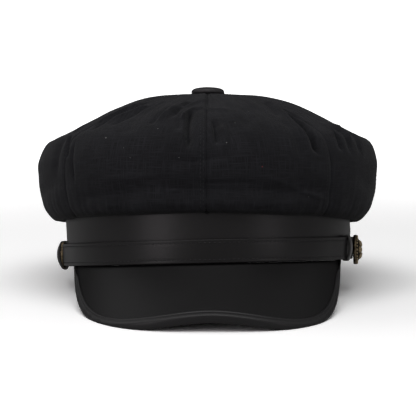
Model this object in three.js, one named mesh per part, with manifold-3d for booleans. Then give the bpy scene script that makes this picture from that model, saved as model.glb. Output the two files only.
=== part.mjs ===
// A biker cap, of the baker boy kind: an eight-panel cotton crown with a covered button on top, a
// leather band, a leather peak with a bound edge, and a leather strap held by two brass buttons.
// Millimetres, +Z up, the front facing -Y. The cap stands as it rests by itself, leaning back on the
// corners of its peak and the back of its band. Its pieces are drawn in the cap's own frame, where
// the foot of the band is level, and the whole cap is then leaned back.
import * as THREE from "three";
import Module from "manifold-3d";

const wasm = await Module();
wasm.setup();

// Driving sizes.
const GAP = 0.3; // clearance between pieces that touch
const CLOTH = 1.4; // the crown's cloth and its lining
const PUFF = 1.5; // how far a crown panel swells out between its seams
const FULLNESS = 0.7; // how evenly it swells: towards 0 it is flat between steep sides
const PRESSED = 0.45; // how far leather gives where it rests
const LEAN = 2.2; // how much higher the band's foot is on the right, and lower on the left
const band = { halfWidth: 85.2, halfLength: 96.5, flare: 2, height: 31.5, thickness: 2.2, corner: 0.5 };
const peak = {
  halfSpan: 78.6, // where its horns leave the band, from the middle
  reach: 129.4, // from the middle of the head opening to the front edge
  slope: 41, // degrees below the band's foot
  twist: 0.1, // degrees that are added at the right horn and taken at the left
  squareness: { left: 2.3, right: 2.5 }, // exponents of the outline, as the left corner is rounder
  thickness: 1.8,
  skived: 1.2, // its thickness at the edge, under the binding
  tuck: 1.2, // how far its root lies under the band
  rootShare: 0.99, // width of its root against its horns
};
const binding = { width: 4.5, thickness: 0.8, share: 0.972 }; // share of the way to the horns
const strap = {
  width: 13.4,
  thickness: 1.5,
  edge: 0.6, // width of its rounded edges, and the share of its thickness left there
  edgeShare: 0.45,
  foot: 0.3, // its height over the band's foot
  pastButton: 7.2,
};
const keeper = { width: 5, thickness: 0.9, height: 17.4, bow: 2.6, fromButton: 21.5 };
const buttons = [
  { side: "left", azimuth: -101 },
  { side: "right", azimuth: 83 },
];
const sideButton = {
  radius: 8.7,
  edge: 1.6, // height of its rim
  dome: 2.9,
  petals: 6,
  relief: 0.45,
  shank: 0.5, // length of the shank that it stands on
  shankRadius: 3,
};
const topButton = { radius: 10.2, height: 4.2 };

// Colours and finishes.
const looks = {
  cotton: { color: 0x1c1c1f, roughness: 0.95, metalness: 0 },
  leather: { color: 0x232324, roughness: 0.5, metalness: 0 },
  brass: { color: 0x6b5227, roughness: 0.45, metalness: 1 },
};

const radians = THREE.MathUtils.degToRad;
const { lerp, smoothstep, clamp } = THREE.MathUtils;

// A point from its azimuth (0 at the front, growing towards +X), its distance from the axis and its height.
const around = (azimuth, reach, height) =>
  new THREE.Vector3(reach * Math.sin(azimuth), -reach * Math.cos(azimuth), height);

// Distance from the axis to an ellipse, at an azimuth.
const ellipse = (azimuth, side, end) => 1 / Math.hypot(Math.sin(azimuth) / side, Math.cos(azimuth) / end);

// A closed body lofted through sections. Each section is an outer and an inner line of as many points.
// An open loft is capped at both ends, and a closed one joins its last section to its first.
function loft(sections, closed = false) {
  const loops = sections.map(({ outer, inner }) => [...outer, ...[...inner].reverse()]);
  const size = loops[0].length;
  const faces = [];
  const quad = (a, b, c, d) => faces.push(a, b, c, a, c, d);
  const spans = closed ? loops.length : loops.length - 1;
  for (let i = 0; i < spans; i++) {
    const here = i * size;
    const next = ((i + 1) % loops.length) * size;
    for (let j = 0; j < size; j++) {
      const k = (j + 1) % size;
      quad(here + j, next + j, next + k, here + k);
    }
  }
  const cap = (start, turned) => {
    for (let j = 0; j < size / 2 - 1; j++) {
      const corners = [start + j, start + j + 1, start + size - 2 - j, start + size - 1 - j];
      quad(...(turned ? corners.reverse() : corners));
    }
  };
  if (!closed) {
    cap(0, false);
    cap((loops.length - 1) * size, true);
  }
  const geometry = new THREE.BufferGeometry();
  geometry.setAttribute("position", new THREE.Float32BufferAttribute(loops.flat().flatMap((p) => [...p]), 3));
  geometry.setIndex(faces);
  return facingOut(geometry);
}

// Turns a closed geometry's faces outwards.
function facingOut(geometry) {
  const p = geometry.attributes.position;
  const index = geometry.index.array;
  const corner = (i) => new THREE.Vector3().fromBufferAttribute(p, index[i]);
  let volume = 0;
  for (let i = 0; i < index.length; i += 3) {
    volume += corner(i).dot(corner(i + 1).cross(corner(i + 2)));
  }
  for (let i = 0; volume < 0 && i < index.length; i += 3) {
    [index[i], index[i + 1]] = [index[i + 1], index[i]];
  }
  return geometry;
}

// A closed geometry as a solid that can be cut, and back.
function toSolid(geometry) {
  const places = new Map();
  const vertProperties = [];
  const p = geometry.attributes.position;
  const merged = [];
  for (let i = 0; i < p.count; i++) {
    const point = [p.getX(i), p.getY(i), p.getZ(i)];
    const key = point.map((c) => Math.round(c * 1e4)).join();
    if (!places.has(key)) {
      places.set(key, places.size);
      vertProperties.push(...point);
    }
    merged.push(places.get(key));
  }
  const corners = geometry.index ? [...geometry.index.array].map((i) => merged[i]) : merged;
  const triVerts = [];
  for (let i = 0; i < corners.length; i += 3) {
    const [a, b, c] = corners.slice(i, i + 3);
    if (a !== b && b !== c && c !== a) triVerts.push(a, b, c);
  }
  const mesh = {
    numProp: 3,
    vertProperties: new Float32Array(vertProperties),
    triVerts: new Uint32Array(triVerts),
  };
  return new wasm.Manifold(new wasm.Mesh(mesh));
}

function toGeometry(solid) {
  const { vertProperties, triVerts } = solid.getMesh();
  const geometry = new THREE.BufferGeometry();
  geometry.setAttribute("position", new THREE.BufferAttribute(vertProperties.slice(), 3));
  geometry.setIndex(new THREE.BufferAttribute(triVerts.slice(), 1));
  return geometry;
}

const cut = (geometry, tool) => toGeometry(toSolid(geometry).subtract(toSolid(tool)));

// The crown's outline from its tip down to the band, as reach and height at the front, side and back.
const crownRows = [
  { row: "tip", front: [2.5, 103.3], side: [2.5, 103.3], back: [2.5, 103.3] },
  { row: "rim", front: [13, 103], side: [13, 103], back: [13, 103] },
  { row: "dome", front: [30, 100.4], side: [37, 100.8], back: [36, 101.1] },
  { row: "slope", front: [50, 95.5], side: [58, 94.3], back: [62, 96.2] },
  { row: "ridge", front: [68, 90.3], side: [73.5, 86.4], back: [84, 88.9] },
  { row: "shoulder", front: [84, 83.7], side: [90.7, 77.1], back: [99, 80] },
  { row: "corner", front: [96, 74.3], side: [99.2, 72.8], back: [107.5, 70.7] },
  { row: "upper", front: [102, 63.8], side: [103.1, 62.2], back: [112, 60.9] },
  { row: "equator", front: [104.2, 51.1], side: [102.8, 53.6], back: [113.5, 50.1] },
  { row: "lower", front: [103.8, 39.3], side: [101.6, 42.3], back: [111.5, 39.3] },
  { row: "hem", front: [101.9, 31.9], side: [97.5, 32.8], back: [107, 30.4] },
  { row: "fold", front: [100.2, 28.6], side: [92.6, 25.5], back: [102.5, 25.5] },
  { row: "tuck", front: [98.9, 29.7], side: [88.4, 27.1], back: [99.4, 27.3] },
  { row: "hemline", front: [98.8, 32.4], side: [87.5, 32.2], back: [98.8, 32.2] },
];
const rowAt = Object.fromEntries(crownRows.map(({ row }, i) => [row, i / (crownRows.length - 1)]));

// The seams between the crown's panels, as azimuths in degrees. The cloth has pulled them a little uneven.
const seams = [
  { seam: "front", azimuth: -0.5 },
  { seam: "front right", azimuth: 43.5 },
  { seam: "right", azimuth: 88 },
  { seam: "back right", azimuth: 134 },
  { seam: "back", azimuth: 180 },
  { seam: "back left", azimuth: 225 },
  { seam: "left", azimuth: 268 },
  { seam: "front left", azimuth: 306 },
];

// Folds that run down the crown: azimuths in degrees at their upper and lower ends, width across, and
// height, which is below zero for a crease.
const foldsDown = [
  { from: "slope", to: "upper", start: -8, end: -6.5, width: 4, height: -3 },
  { from: "dome", to: "shoulder", start: -16, end: -18, width: 6, height: 2 },
  { from: "ridge", to: "corner", start: 3.5, end: 4, width: 4, height: -1.6 },
  { from: "dome", to: "shoulder", start: 14, end: 12, width: 5, height: 1.4 },
  { from: "slope", to: "upper", start: 31, end: 38, width: 5, height: -3.6 },
  { from: "dome", to: "ridge", start: 23, end: 24, width: 5, height: 1.8 },
  { from: "ridge", to: "upper", start: 51, end: 55, width: 5, height: -2.2 },
  { from: "ridge", to: "corner", start: -31, end: -28, width: 6, height: -1.4 },
  { from: "shoulder", to: "equator", start: -60, end: -59, width: 5, height: -1.6 },
  { from: "slope", to: "corner", start: 70, end: 74, width: 7, height: -1.6 },
  { from: "slope", to: "upper", start: -78, end: -75, width: 6, height: -1.2 },
  { from: "dome", to: "upper", start: -84, end: -80, width: 32, height: -2 },
  { from: "ridge", to: "upper", start: 112, end: 108, width: 6, height: -2.2 },
  { from: "slope", to: "upper", start: 152, end: 158, width: 7, height: -2.4 },
  { from: "ridge", to: "equator", start: 196, end: 191, width: 6, height: -2.4 },
  { from: "slope", to: "corner", start: 243, end: 247, width: 7, height: -2 },
];

// Folds that run around the crown: the row each starts and ends at, with a share of the way to the next row.
const foldsAround = [
  { start: -22, end: 44, from: ["lower", -0.35], to: ["lower", -0.15], width: 5, height: -1.7 },
  { start: -46, end: -20, from: ["lower", 0.3], to: ["lower", -0.2], width: 5, height: -1 },
  { start: -20, end: 30, from: ["lower", 0.6], to: ["lower", 0.55], width: 4, height: 0.6 },
  { start: 56, end: 84, from: ["equator", 0.2], to: ["lower", 0.2], width: 5, height: -0.8 },
  { start: 96, end: 130, from: ["lower", 0.1], to: ["equator", 0.4], width: 6, height: -1.6 },
  { start: 276, end: 302, from: ["lower", 0.2], to: ["equator", 0.5], width: 5, height: -1.2 },
  { start: 140, end: 182, from: ["lower", -0.3], to: ["equator", 0.5], width: 6, height: -1.8 },
  { start: 186, end: 232, from: ["equator", 0.3], to: ["lower", 0.1], width: 6, height: -1.8 },
];

const bell = (distance, width) => Math.exp(-((distance / width) ** 2));
const betweenEnds = (share) => smoothstep(share, -0.15, 0.2) * (1 - smoothstep(share, 0.8, 1.15));

// How far the folds lift or sink the cloth at an azimuth and a share of the way down.
function foldHeight(azimuth, down, reach) {
  const turn = radians(360);
  const near = (angle) => angle - turn * Math.round(angle / turn);
  let height = 0;
  for (const fold of foldsDown) {
    const share = (down - rowAt[fold.from]) / (rowAt[fold.to] - rowAt[fold.from]);
    const middle = radians(lerp(fold.start, fold.end, clamp(share, 0, 1)));
    height += fold.height * betweenEnds(share) * bell(near(azimuth - middle) * reach, fold.width);
  }
  const rowStep = 1 / (crownRows.length - 1);
  const rowLength = 12.5; // cloth between two rows on the crown's wall
  for (const fold of foldsAround) {
    const [low, high] = [fold.from, fold.to].map(([row, extra]) => rowAt[row] + extra * rowStep);
    const middle = radians((fold.start + fold.end) / 2);
    const share = 0.5 + near(azimuth - middle) / radians(fold.end - fold.start);
    const distance = ((down - lerp(low, high, clamp(share, 0, 1))) / rowStep) * rowLength;
    height += fold.height * betweenEnds(share) * bell(distance, fold.width);
  }
  return height;
}

// The crown's plain outline at an azimuth, before its panels swell and fold.
const outlines = new Map();
function crownOutline(azimuth, down) {
  const key = azimuth.toFixed(6);
  if (!outlines.has(key)) {
    const end = Math.cos(azimuth) > 0 ? "front" : "back";
    const points = crownRows.map((row) => {
      const reach = ellipse(azimuth, row.side[0], row[end][0]);
      return around(azimuth, reach, lerp(row.side[1], row[end][1], Math.cos(azimuth) ** 2));
    });
    outlines.set(key, new THREE.CatmullRomCurve3(points, false, "centripetal"));
  }
  return outlines.get(key).getPoint(clamp(down, 0, 1));
}

// A unit vector square to a surface of two variables at a point, facing away from the axis.
function squareTo(surface, u, v, [uLow, uHigh, vLow, vHigh]) {
  const step = 0.004;
  const across = surface(Math.min(u + step, uHigh), v).sub(surface(Math.max(u - step, uLow), v));
  const along = surface(u, Math.min(v + step, vHigh)).sub(surface(u, Math.max(v - step, vLow)));
  return along.cross(across).normalize();
}

function crownPanel(number) {
  const first = radians(seams[number].azimuth);
  let turn = radians(seams[(number + 1) % seams.length].azimuth) - first;
  if (turn < 0) turn += radians(360);
  const everyWay = [-10, 10, 0, 1];
  const surface = (share, down) => {
    const azimuth = first + turn * share;
    const point = crownOutline(azimuth, down);
    const between = clamp(share, 0, 1);
    const swell = PUFF * (4 * between * (1 - between)) ** FULLNESS;
    const loose = smoothstep(down, rowAt.rim, rowAt.ridge) * (1 - smoothstep(down, rowAt.hem, rowAt.tuck));
    const lift = loose * (swell + foldHeight(azimuth, down, Math.hypot(point.x, point.y)));
    return point.addScaledVector(squareTo(crownOutline, azimuth, down, everyWay), lift);
  };
  const inFront = number === 0 || number === seams.length - 1;
  const [columns, rows] = inFront ? [14, 22] : [8, 20];
  const sections = [];
  for (let i = 0; i <= columns; i++) {
    const outer = [];
    const inner = [];
    for (let j = 0; j <= rows; j++) {
      const down = j / rows;
      const edge = crownOutline(first, down);
      const margin = GAP / 2 / (Math.hypot(edge.x, edge.y) * turn);
      const share = lerp(margin, 1 - margin, i / columns);
      const point = surface(share, down);
      outer.push(point);
      inner.push(point.clone().addScaledVector(squareTo(surface, share, down, [0, 1, 0, 1]), -CLOTH));
    }
    sections.push({ outer, inner });
  }
  return loft(sections);
}

// The band: a ring of leather around the head, a little wider at its top.
const bandFoot = (azimuth) => LEAN * Math.sin(azimuth);
const bandReach = (azimuth, height, out = 0) => {
  const flare = band.flare * (height / band.height);
  return ellipse(azimuth, band.halfWidth + flare, band.halfLength + flare) + out;
};

// The direction that the band's wall faces at an azimuth, and a point at a distance out from the wall.
const bandFacing = (azimuth) =>
  new THREE.Vector3(
    Math.sin(azimuth) / band.halfWidth ** 2,
    -Math.cos(azimuth) / band.halfLength ** 2,
    0,
  ).normalize();
const offBand = (azimuth, height, out) =>
  around(azimuth, bandReach(azimuth, height), height).addScaledVector(bandFacing(azimuth), out);

function bandRing() {
  const steps = 48;
  const sections = [];
  for (let i = 0; i < steps; i++) {
    const azimuth = (i / steps) * radians(360);
    const foot = bandFoot(azimuth);
    const rows = [
      { height: foot, worn: band.corner },
      { height: foot + band.corner, worn: 0 },
      { height: band.height - band.corner, worn: 0 },
      { height: band.height, worn: band.corner },
    ];
    sections.push({
      outer: rows.map(({ height, worn }) => offBand(azimuth, height, -worn)),
      inner: rows.map(({ height, worn }) => offBand(azimuth, height, worn - band.thickness)),
    });
  }
  return loft(sections, true);
}

// The peak falls forward from the band's foot, so it arches from side to side as the band does.
const bandFront = (x) => band.halfLength * Math.sqrt(1 - (x / band.halfWidth) ** 2);
function peakSurface(x, forward) {
  const side = x / peak.halfSpan;
  const slope = radians(peak.slope + peak.twist * side);
  const root = bandFront(x);
  const fall = Math.max(forward - root, 0);
  const foot = bandFoot(Math.atan2(x, root));
  return new THREE.Vector3(x, -forward, foot - GAP - Math.tan(slope) * fall);
}

function peakFacing(x, forward) {
  const step = 0.2;
  const across = peakSurface(x + step, forward).sub(peakSurface(x - step, forward));
  const along = peakSurface(x, forward + step).sub(peakSurface(x, forward - step));
  return across.cross(along).normalize().multiplyScalar(-1);
}

// The peak's outline seen from above, from its left horn at -1 to its right horn at 1.
function peakEdge(share) {
  const angle = (share * Math.PI) / 2;
  const power = 2 / (share < 0 ? peak.squareness.left : peak.squareness.right);
  const horn = bandFront(peak.halfSpan);
  const x = Math.sign(share) * peak.halfSpan * Math.abs(Math.sin(angle)) ** power;
  return new THREE.Vector2(x, horn + (peak.reach - horn) * Math.cos(angle) ** power);
}

// The shares of the outline where the peak and its binding have a section.
const hornShare = 0.985; // how far towards its horns the outline is kept
const peakColumns = 36;
const peakShares = Array.from({ length: peakColumns + 1 }, (_, i) => {
  return lerp(-hornShare, hornShare, i / peakColumns);
});

// The line on which a share of the outline lies, seen from above: its end at the outline, and its root
// under the band.
function peakLine(share) {
  const x = Math.sin((share * Math.PI) / 2) * peak.halfSpan * peak.rootShare;
  return { edge: peakEdge(share), root: new THREE.Vector2(x, bandFront(x) - peak.tuck) };
}

// How far towards the root a point may lie at the narrow horns, as a share of the way.
const depth = { binding: 0.65, skived: 0.8, full: 0.9 };

// A point over the peak, at a distance in from its edge and a height above its top.
function onPeak(share, inFromEdge, height, most = depth.binding) {
  const { edge, root } = peakLine(share);
  const line = root.clone().sub(edge).normalize();
  const at = (plan) => peakSurface(plan.x, plan.y);
  const step = 0.002;
  const along = at(peakEdge(share + step)).sub(at(peakEdge(share - step))).normalize();
  const inward = at(edge.clone().add(line)).sub(at(edge));
  const furthest = most * edge.distanceTo(root);
  const plan = edge.addScaledVector(line, Math.min(inFromEdge / inward.cross(along).length(), furthest));
  return at(plan).addScaledVector(peakFacing(plan.x, plan.y), height);
}

function peakPlate() {
  const rows = 4;
  const skivedTo = binding.width + 0.4; // the leather is pared down under the binding
  const ramp = 0.6; // and comes back to its thickness over this width
  const sections = [];
  for (const share of peakShares) {
    const { root } = peakLine(share);
    const full = onPeak(share, skivedTo + ramp, 0, depth.full);
    const outer = [];
    const inner = [];
    for (let j = 0; j <= rows; j++) {
      const plan = root.clone().lerp(new THREE.Vector2(full.x, -full.y), j / rows);
      const point = peakSurface(plan.x, plan.y);
      outer.push(point);
      inner.push(point.clone().addScaledVector(peakFacing(plan.x, plan.y), -peak.thickness));
    }
    for (const inFromEdge of [skivedTo, 0]) {
      outer.push(onPeak(share, inFromEdge, 0, depth.skived));
      inner.push(onPeak(share, inFromEdge, -peak.skived, depth.skived));
    }
    sections.push({ outer, inner });
  }
  return loft(sections);
}

// The binding: a strip folded around the peak's edge, from horn to horn.
function peakBinding() {
  const round = 0.9; // radius of its folded edge
  const top = GAP + binding.thickness;
  const bottom = -peak.skived - top;
  const low = -peak.skived - GAP;
  const outside = [
    { inFromEdge: binding.width, height: top },
    { inFromEdge: round, height: top },
    { inFromEdge: -top, height: top - round },
    { inFromEdge: -top, height: bottom + round },
    { inFromEdge: round, height: bottom },
    { inFromEdge: binding.width, height: bottom },
  ];
  const inside = [
    { inFromEdge: binding.width, height: GAP },
    { inFromEdge: round, height: GAP },
    { inFromEdge: -GAP, height: GAP },
    { inFromEdge: -GAP, height: low },
    { inFromEdge: round, height: low },
    { inFromEdge: binding.width, height: low },
  ];
  const sections = peakShares.map((share) => {
    const at = clamp(share, -binding.share, binding.share);
    const line = (rows) => rows.map(({ inFromEdge, height }) => onPeak(at, inFromEdge, height));
    return { outer: line(outside), inner: line(inside) };
  });
  return loft(sections);
}

// The space that the band takes, with the clearance around it.
function bandSpace() {
  const geometry = new THREE.CylinderGeometry(1, 1, 1, 96);
  const p = geometry.attributes.position;
  for (let i = 0; i < p.count; i++) {
    const azimuth = Math.atan2(p.getX(i), -p.getZ(i));
    const radius = Math.hypot(p.getX(i), p.getZ(i));
    const height = p.getY(i) > 0 ? band.height : bandFoot(azimuth) * radius - GAP;
    const point = around(azimuth, radius * (bandReach(azimuth, height) + GAP), height);
    p.setXYZ(i, ...point);
  }
  for (const name of ["normal", "uv"]) geometry.deleteAttribute(name);
  return facingOut(geometry);
}

// The strap lies on the band and stands off it where the keepers go behind it.
const alongBand = (azimuth, distance) => azimuth + distance / bandReach(azimuth, strap.width / 2);
const leftButton = radians(buttons[0].azimuth);
const rightButton = radians(buttons[1].azimuth);
const keeperRoom = keeper.thickness + 2 * GAP;
function strapStandoff(azimuth) {
  const settled = radians(14); // the turn over which the strap comes back to the band
  const left = alongBand(leftButton, keeper.fromButton + keeper.width);
  const right = alongBand(rightButton, -keeper.fromButton - keeper.width);
  const nearLeft = smoothstep(-azimuth, -left - settled, -left);
  const nearRight = smoothstep(azimuth, right - settled, right);
  return lerp(GAP, keeperRoom, Math.max(nearLeft, nearRight));
}

const strapMiddle = (azimuth) => bandFoot(azimuth) + strap.foot + strap.width / 2;

function strapStrip() {
  const columns = 34;
  const endRadius = strap.width / 2;
  const start = alongBand(leftButton, -strap.pastButton);
  const end = alongBand(rightButton, strap.pastButton);
  const endTurn = alongBand(0, endRadius);
  const turns = [];
  const endShares = [0.02, 0.16, 0.5];
  for (const share of endShares) turns.push(start + endTurn * share);
  for (let i = 0; i <= columns; i++) turns.push(lerp(start + endTurn, end - endTurn, i / columns));
  for (const share of [...endShares].reverse()) turns.push(end - endTurn * share);
  const sections = turns.map((azimuth) => {
    const toEnd = Math.min(azimuth - start, end - azimuth, endTurn) / endTurn;
    const half = endRadius * Math.sqrt(1 - (1 - toEnd) ** 2);
    const thin = strap.thickness * strap.edgeShare;
    const edge = Math.min(strap.edge, half / 2);
    const wall = [
      { from: -half, out: thin },
      { from: edge - half, out: strap.thickness },
      { from: half - edge, out: strap.thickness },
      { from: half, out: thin },
    ];
    const place = (from, out) =>
      offBand(azimuth, strapMiddle(azimuth) + from, strapStandoff(azimuth) + out);
    return {
      outer: wall.map(({ from, out }) => place(from, out)),
      inner: wall.map(({ from }) => place(from, 0)),
    };
  });
  return loft(sections);
}

// A keeper: a loop of leather around the strap, bowed out in front of it.
function keeperLoop() {
  const front = keeperRoom + strap.thickness;
  const steps = 10;
  const outline = (inset) => {
    const half = keeper.height / 2 - inset;
    const points = [new THREE.Vector2(GAP + inset, -half), new THREE.Vector2(GAP + inset, half)];
    for (let i = 0; i <= steps; i++) {
      const height = lerp(half, -half, i / steps);
      const bow = keeper.bow * (1 - (height / half) ** 2);
      points.push(new THREE.Vector2(front + keeper.thickness - inset + bow, height));
    }
    return points;
  };
  const across = ({ x, y }) => [-0.5, 0.5].map((side) => new THREE.Vector3(x, y, side * keeper.width));
  const inside = outline(keeper.thickness);
  return loft(outline(0).map((point, i) => ({ outer: across(point), inner: across(inside[i]) })), true);
}

// A side button: a low dome with a beaded rim and a rosette, raised as cast.
function rosetteButton() {
  const { radius, edge, dome, petals, relief, shank, shankRadius } = sideButton;
  const rings = [
    { at: 0, petal: 0, bead: 0, extra: 0.5 },
    { at: 0.16, petal: 0, bead: 0, extra: 0.4 },
    { at: 0.26, petal: 0, bead: 0, extra: -0.5 },
    { at: 0.5, petal: 1, bead: 0, extra: 0.2 },
    { at: 0.74, petal: 0, bead: 0, extra: -0.6 },
    { at: 0.9, petal: 0, bead: 1, extra: 0.6 },
    { at: 1, petal: 0, bead: 0, extra: -0.2 },
  ];
  const steps = 24;
  const backShare = 0.98; // radius of its back against its rim
  const sections = [];
  for (let i = 0; i < steps; i++) {
    const turn = (i / steps) * radians(360);
    const spoke = (share, height) =>
      new THREE.Vector3(radius * share * Math.cos(turn), height, radius * share * Math.sin(turn));
    const outer = rings.slice(1).map(({ at, petal, bead, extra }) => {
      const wave = petal * Math.cos(petals * turn) + bead * Math.cos(2 * petals * turn);
      return spoke(at, shank + edge + dome * (1 - at ** 2) + relief * (extra + wave));
    });
    const shankShare = shankRadius / radius;
    outer.push(spoke(backShare, shank), spoke(shankShare, shank), spoke(shankShare, 0));
    sections.push(outer);
  }
  const top = new THREE.Vector3(0, shank + edge + dome + relief * rings[0].extra, 0);
  const count = sections[0].length;
  const points = [...sections.flat(), top, new THREE.Vector3(0, 0, 0)];
  const faces = [];
  for (let i = 0; i < steps; i++) {
    const here = i * count;
    const next = ((i + 1) % steps) * count;
    for (let j = 0; j < count - 1; j++) {
      faces.push(here + j, next + j, next + j + 1, here + j, next + j + 1, here + j + 1);
    }
    faces.push(steps * count, next, here);
    faces.push(steps * count + 1, here + count - 1, next + count - 1);
  }
  const geometry = new THREE.BufferGeometry();
  geometry.setAttribute("position", new THREE.Float32BufferAttribute(points.flatMap((p) => [...p]), 3));
  geometry.setIndex(faces);
  return facingOut(geometry);
}

// The covered button on top: a padded disc.
function coveredButton() {
  const { radius, height } = topButton;
  const profile = [
    [0, 0],
    [0.9, 0],
    [1, 0.16],
    [1, 0.34],
    [0.93, 0.6],
    [0.76, 0.82],
    [0.45, 0.96],
    [0, 1],
  ].map(([out, up]) => new THREE.Vector2(out * radius, up * height));
  return new THREE.LatheGeometry(profile, 20).rotateX(Math.PI / 2);
}

// Assembly, in the cap's own frame.
const cap = new THREE.Group();
function add(name, geometry, look) {
  const mesh = new THREE.Mesh(geometry, new THREE.MeshStandardMaterial(looks[look]));
  mesh.name = name;
  cap.add(mesh);
  return mesh;
}

for (let i = 0; i < seams.length; i++) add(`crown_panel_${i + 1}`, crownPanel(i), "cotton");
add("top_button", coveredButton(), "leather").position.z = crownRows[0].side[1] + GAP;
const resting = [
  add("band", bandRing(), "leather"),
  add("peak", peakPlate(), "leather"),
  add("peak_binding", cut(peakBinding(), bandSpace()), "leather"),
];
add("chin_strap", strapStrip(), "leather");

for (const { side, azimuth } of buttons) {
  const inward = -Math.sign(azimuth);
  const turn = radians(azimuth);
  const keeperTurn = alongBand(turn, inward * keeper.fromButton);
  const loop = add(`keeper_${side}`, keeperLoop(), "leather");
  loop.position.copy(offBand(keeperTurn, strapMiddle(keeperTurn), 0));
  const up = offBand(keeperTurn, band.height, 0).sub(offBand(keeperTurn, 0, 0)).normalize();
  const along = bandFacing(keeperTurn).cross(up).normalize();
  const frame = new THREE.Matrix4().makeBasis(up.clone().cross(along), up, along);
  loop.quaternion.setFromRotationMatrix(frame);
  const button = add(`side_button_${side}`, rosetteButton(), "brass");
  button.position.copy(offBand(turn, strapMiddle(turn), strapStandoff(turn) + strap.thickness + GAP));
  button.quaternion.setFromUnitVectors(new THREE.Vector3(0, 1, 0), bandFacing(turn));
}

// The height of the lowest point of some pieces when they lean back.
function lowest(meshes, lean) {
  let low = Infinity;
  const turned = new THREE.Matrix4().makeRotationX(-lean);
  for (const { geometry } of meshes) {
    const p = geometry.attributes.position;
    for (let i = 0; i < p.count; i++) {
      low = Math.min(low, new THREE.Vector3().fromBufferAttribute(p, i).applyMatrix4(turned).z);
    }
  }
  return low;
}

// The lean that brings the peak's corners and the back of the band onto one level.
let [leastLean, mostLean] = [radians(2), radians(20)];
for (let i = 0; i < 30; i++) {
  const middle = (leastLean + mostLean) / 2;
  if (lowest(resting.slice(1), middle) < lowest([resting[0]], middle)) leastLean = middle;
  else mostLean = middle;
}
const lean = leastLean;

const part = new THREE.Group();
part.add(cap);
cap.rotation.x = -lean;
cap.position.z = -lowest(resting, lean) - PRESSED;
part.updateMatrixWorld(true);
const bounds = new THREE.Box3().setFromObject(part, true);
cap.position.y = -(bounds.min.y + bounds.max.y) / 2;
cap.position.x = -(bounds.min.x + bounds.max.x) / 2;
part.updateMatrixWorld(true);

// Leather is pressed flat where it rests.
const ground = new THREE.BoxGeometry(400, 400, 20).translate(0, 0, -10);
for (const mesh of resting) {
  const below = ground.clone().applyMatrix4(mesh.matrixWorld.clone().invert());
  mesh.geometry = cut(mesh.geometry, below);
}

export default part;
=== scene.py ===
# A biker cap that rests on a pale floor: an eight-panel crown of black cotton with a covered button on
# top, a leather band, a leather peak with a bound edge, and a stitched strap between two brass buttons.
import math

import bmesh
import bpy
import numpy as np
from mathutils import Matrix, Vector, noise


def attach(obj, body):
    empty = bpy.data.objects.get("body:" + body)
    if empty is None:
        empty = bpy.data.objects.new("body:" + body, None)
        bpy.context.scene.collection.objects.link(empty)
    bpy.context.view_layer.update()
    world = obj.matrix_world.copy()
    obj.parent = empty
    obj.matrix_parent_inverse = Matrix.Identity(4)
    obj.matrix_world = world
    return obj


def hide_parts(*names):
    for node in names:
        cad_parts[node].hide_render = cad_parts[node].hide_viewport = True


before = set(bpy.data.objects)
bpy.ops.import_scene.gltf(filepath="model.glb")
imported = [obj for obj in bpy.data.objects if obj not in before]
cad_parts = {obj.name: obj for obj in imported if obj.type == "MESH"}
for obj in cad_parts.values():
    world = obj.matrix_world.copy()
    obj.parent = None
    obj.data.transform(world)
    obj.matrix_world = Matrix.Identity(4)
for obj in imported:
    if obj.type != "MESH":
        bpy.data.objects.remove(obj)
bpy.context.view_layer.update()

# Camera
# It stands in front of the cap and a little above it, far off with a long lens, as for a shop's picture.
# Its aim is the middle of the cap.
CAMERA_DISTANCE = 1.3
CAMERA_ELEVATION = math.radians(8.5)
CAMERA_AIM = Vector((0, 0, 0.0506))
camera_data = bpy.data.cameras.new("camera")
camera_data.sensor_width = 36
camera_data.lens = 185


def new_object(name, data):
    made = bpy.data.objects.new(name, data)
    bpy.context.scene.collection.objects.link(made)
    return made


camera = new_object("camera", camera_data)
towards_camera = Vector((0, -math.cos(CAMERA_ELEVATION), math.sin(CAMERA_ELEVATION)))
camera.location = CAMERA_AIM + CAMERA_DISTANCE * towards_camera
camera.rotation_euler = (-towards_camera).to_track_quat("-Z", "Y").to_euler()
bpy.context.scene.camera = camera

# Crown
# Eight panels of black cotton, cut as gores, sewn to each other with the seam allowance pressed to one
# side and stitched down, and turned under at the foot, where they are sewn to the top of the band.
# The cloth is lined, so its wall is thicker than the cotton alone, and it has creased where it was packed.
MM = 0.001
CAP_LEAN = math.radians(9.642)
CAP_PLACE = Vector((-0.109, 6.259, 15.734)) * MM
at_rest = Matrix.Translation(CAP_PLACE) @ Matrix.Rotation(-CAP_LEAN, 4, "X")
rest_turn = np.array(at_rest.to_3x3())
rest_shift = np.array(at_rest.translation)

CLOTH = 1.4  # the cotton and its lining together
PANEL_GAP = 0.02  # between one panel and the next
PUFF, PUFF_FULLNESS = 1.5, 0.7  # how far a panel swells, and how near to its seams it does
CROWN_ROWS = [
    # row, then reach and height at the front, the side and the back, in millimetres
    ("tip", (2.5, 103.3), (2.5, 103.3), (2.5, 103.3)),
    ("rim", (13, 103), (13, 103), (13, 103)),
    ("dome", (30, 100.4), (37, 100.8), (36, 101.1)),
    ("slope", (50, 95.5), (58, 94.3), (62, 96.2)),
    ("ridge", (68, 90.3), (73.5, 86.4), (84, 88.9)),
    ("shoulder", (84, 83.7), (90.7, 77.1), (99, 80)),
    ("corner", (96, 74.3), (99.2, 72.8), (107.5, 70.7)),
    ("upper", (102, 63.8), (103.1, 62.2), (112, 60.9)),
    ("equator", (104.2, 51.1), (102.8, 53.6), (113.5, 50.1)),
    ("lower", (103.8, 39.3), (101.6, 42.3), (111.5, 39.3)),
    ("hem", (101.9, 31.9), (97.5, 32.8), (107, 30.4)),
    ("fold", (100.2, 28.6), (92.6, 25.5), (102.5, 25.5)),
    ("tuck", (98.9, 29.7), (88.4, 27.1), (99.4, 27.3)),
    ("hemline", (98.8, 32.4), (87.5, 32.2), (98.8, 32.2)),
]
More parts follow.
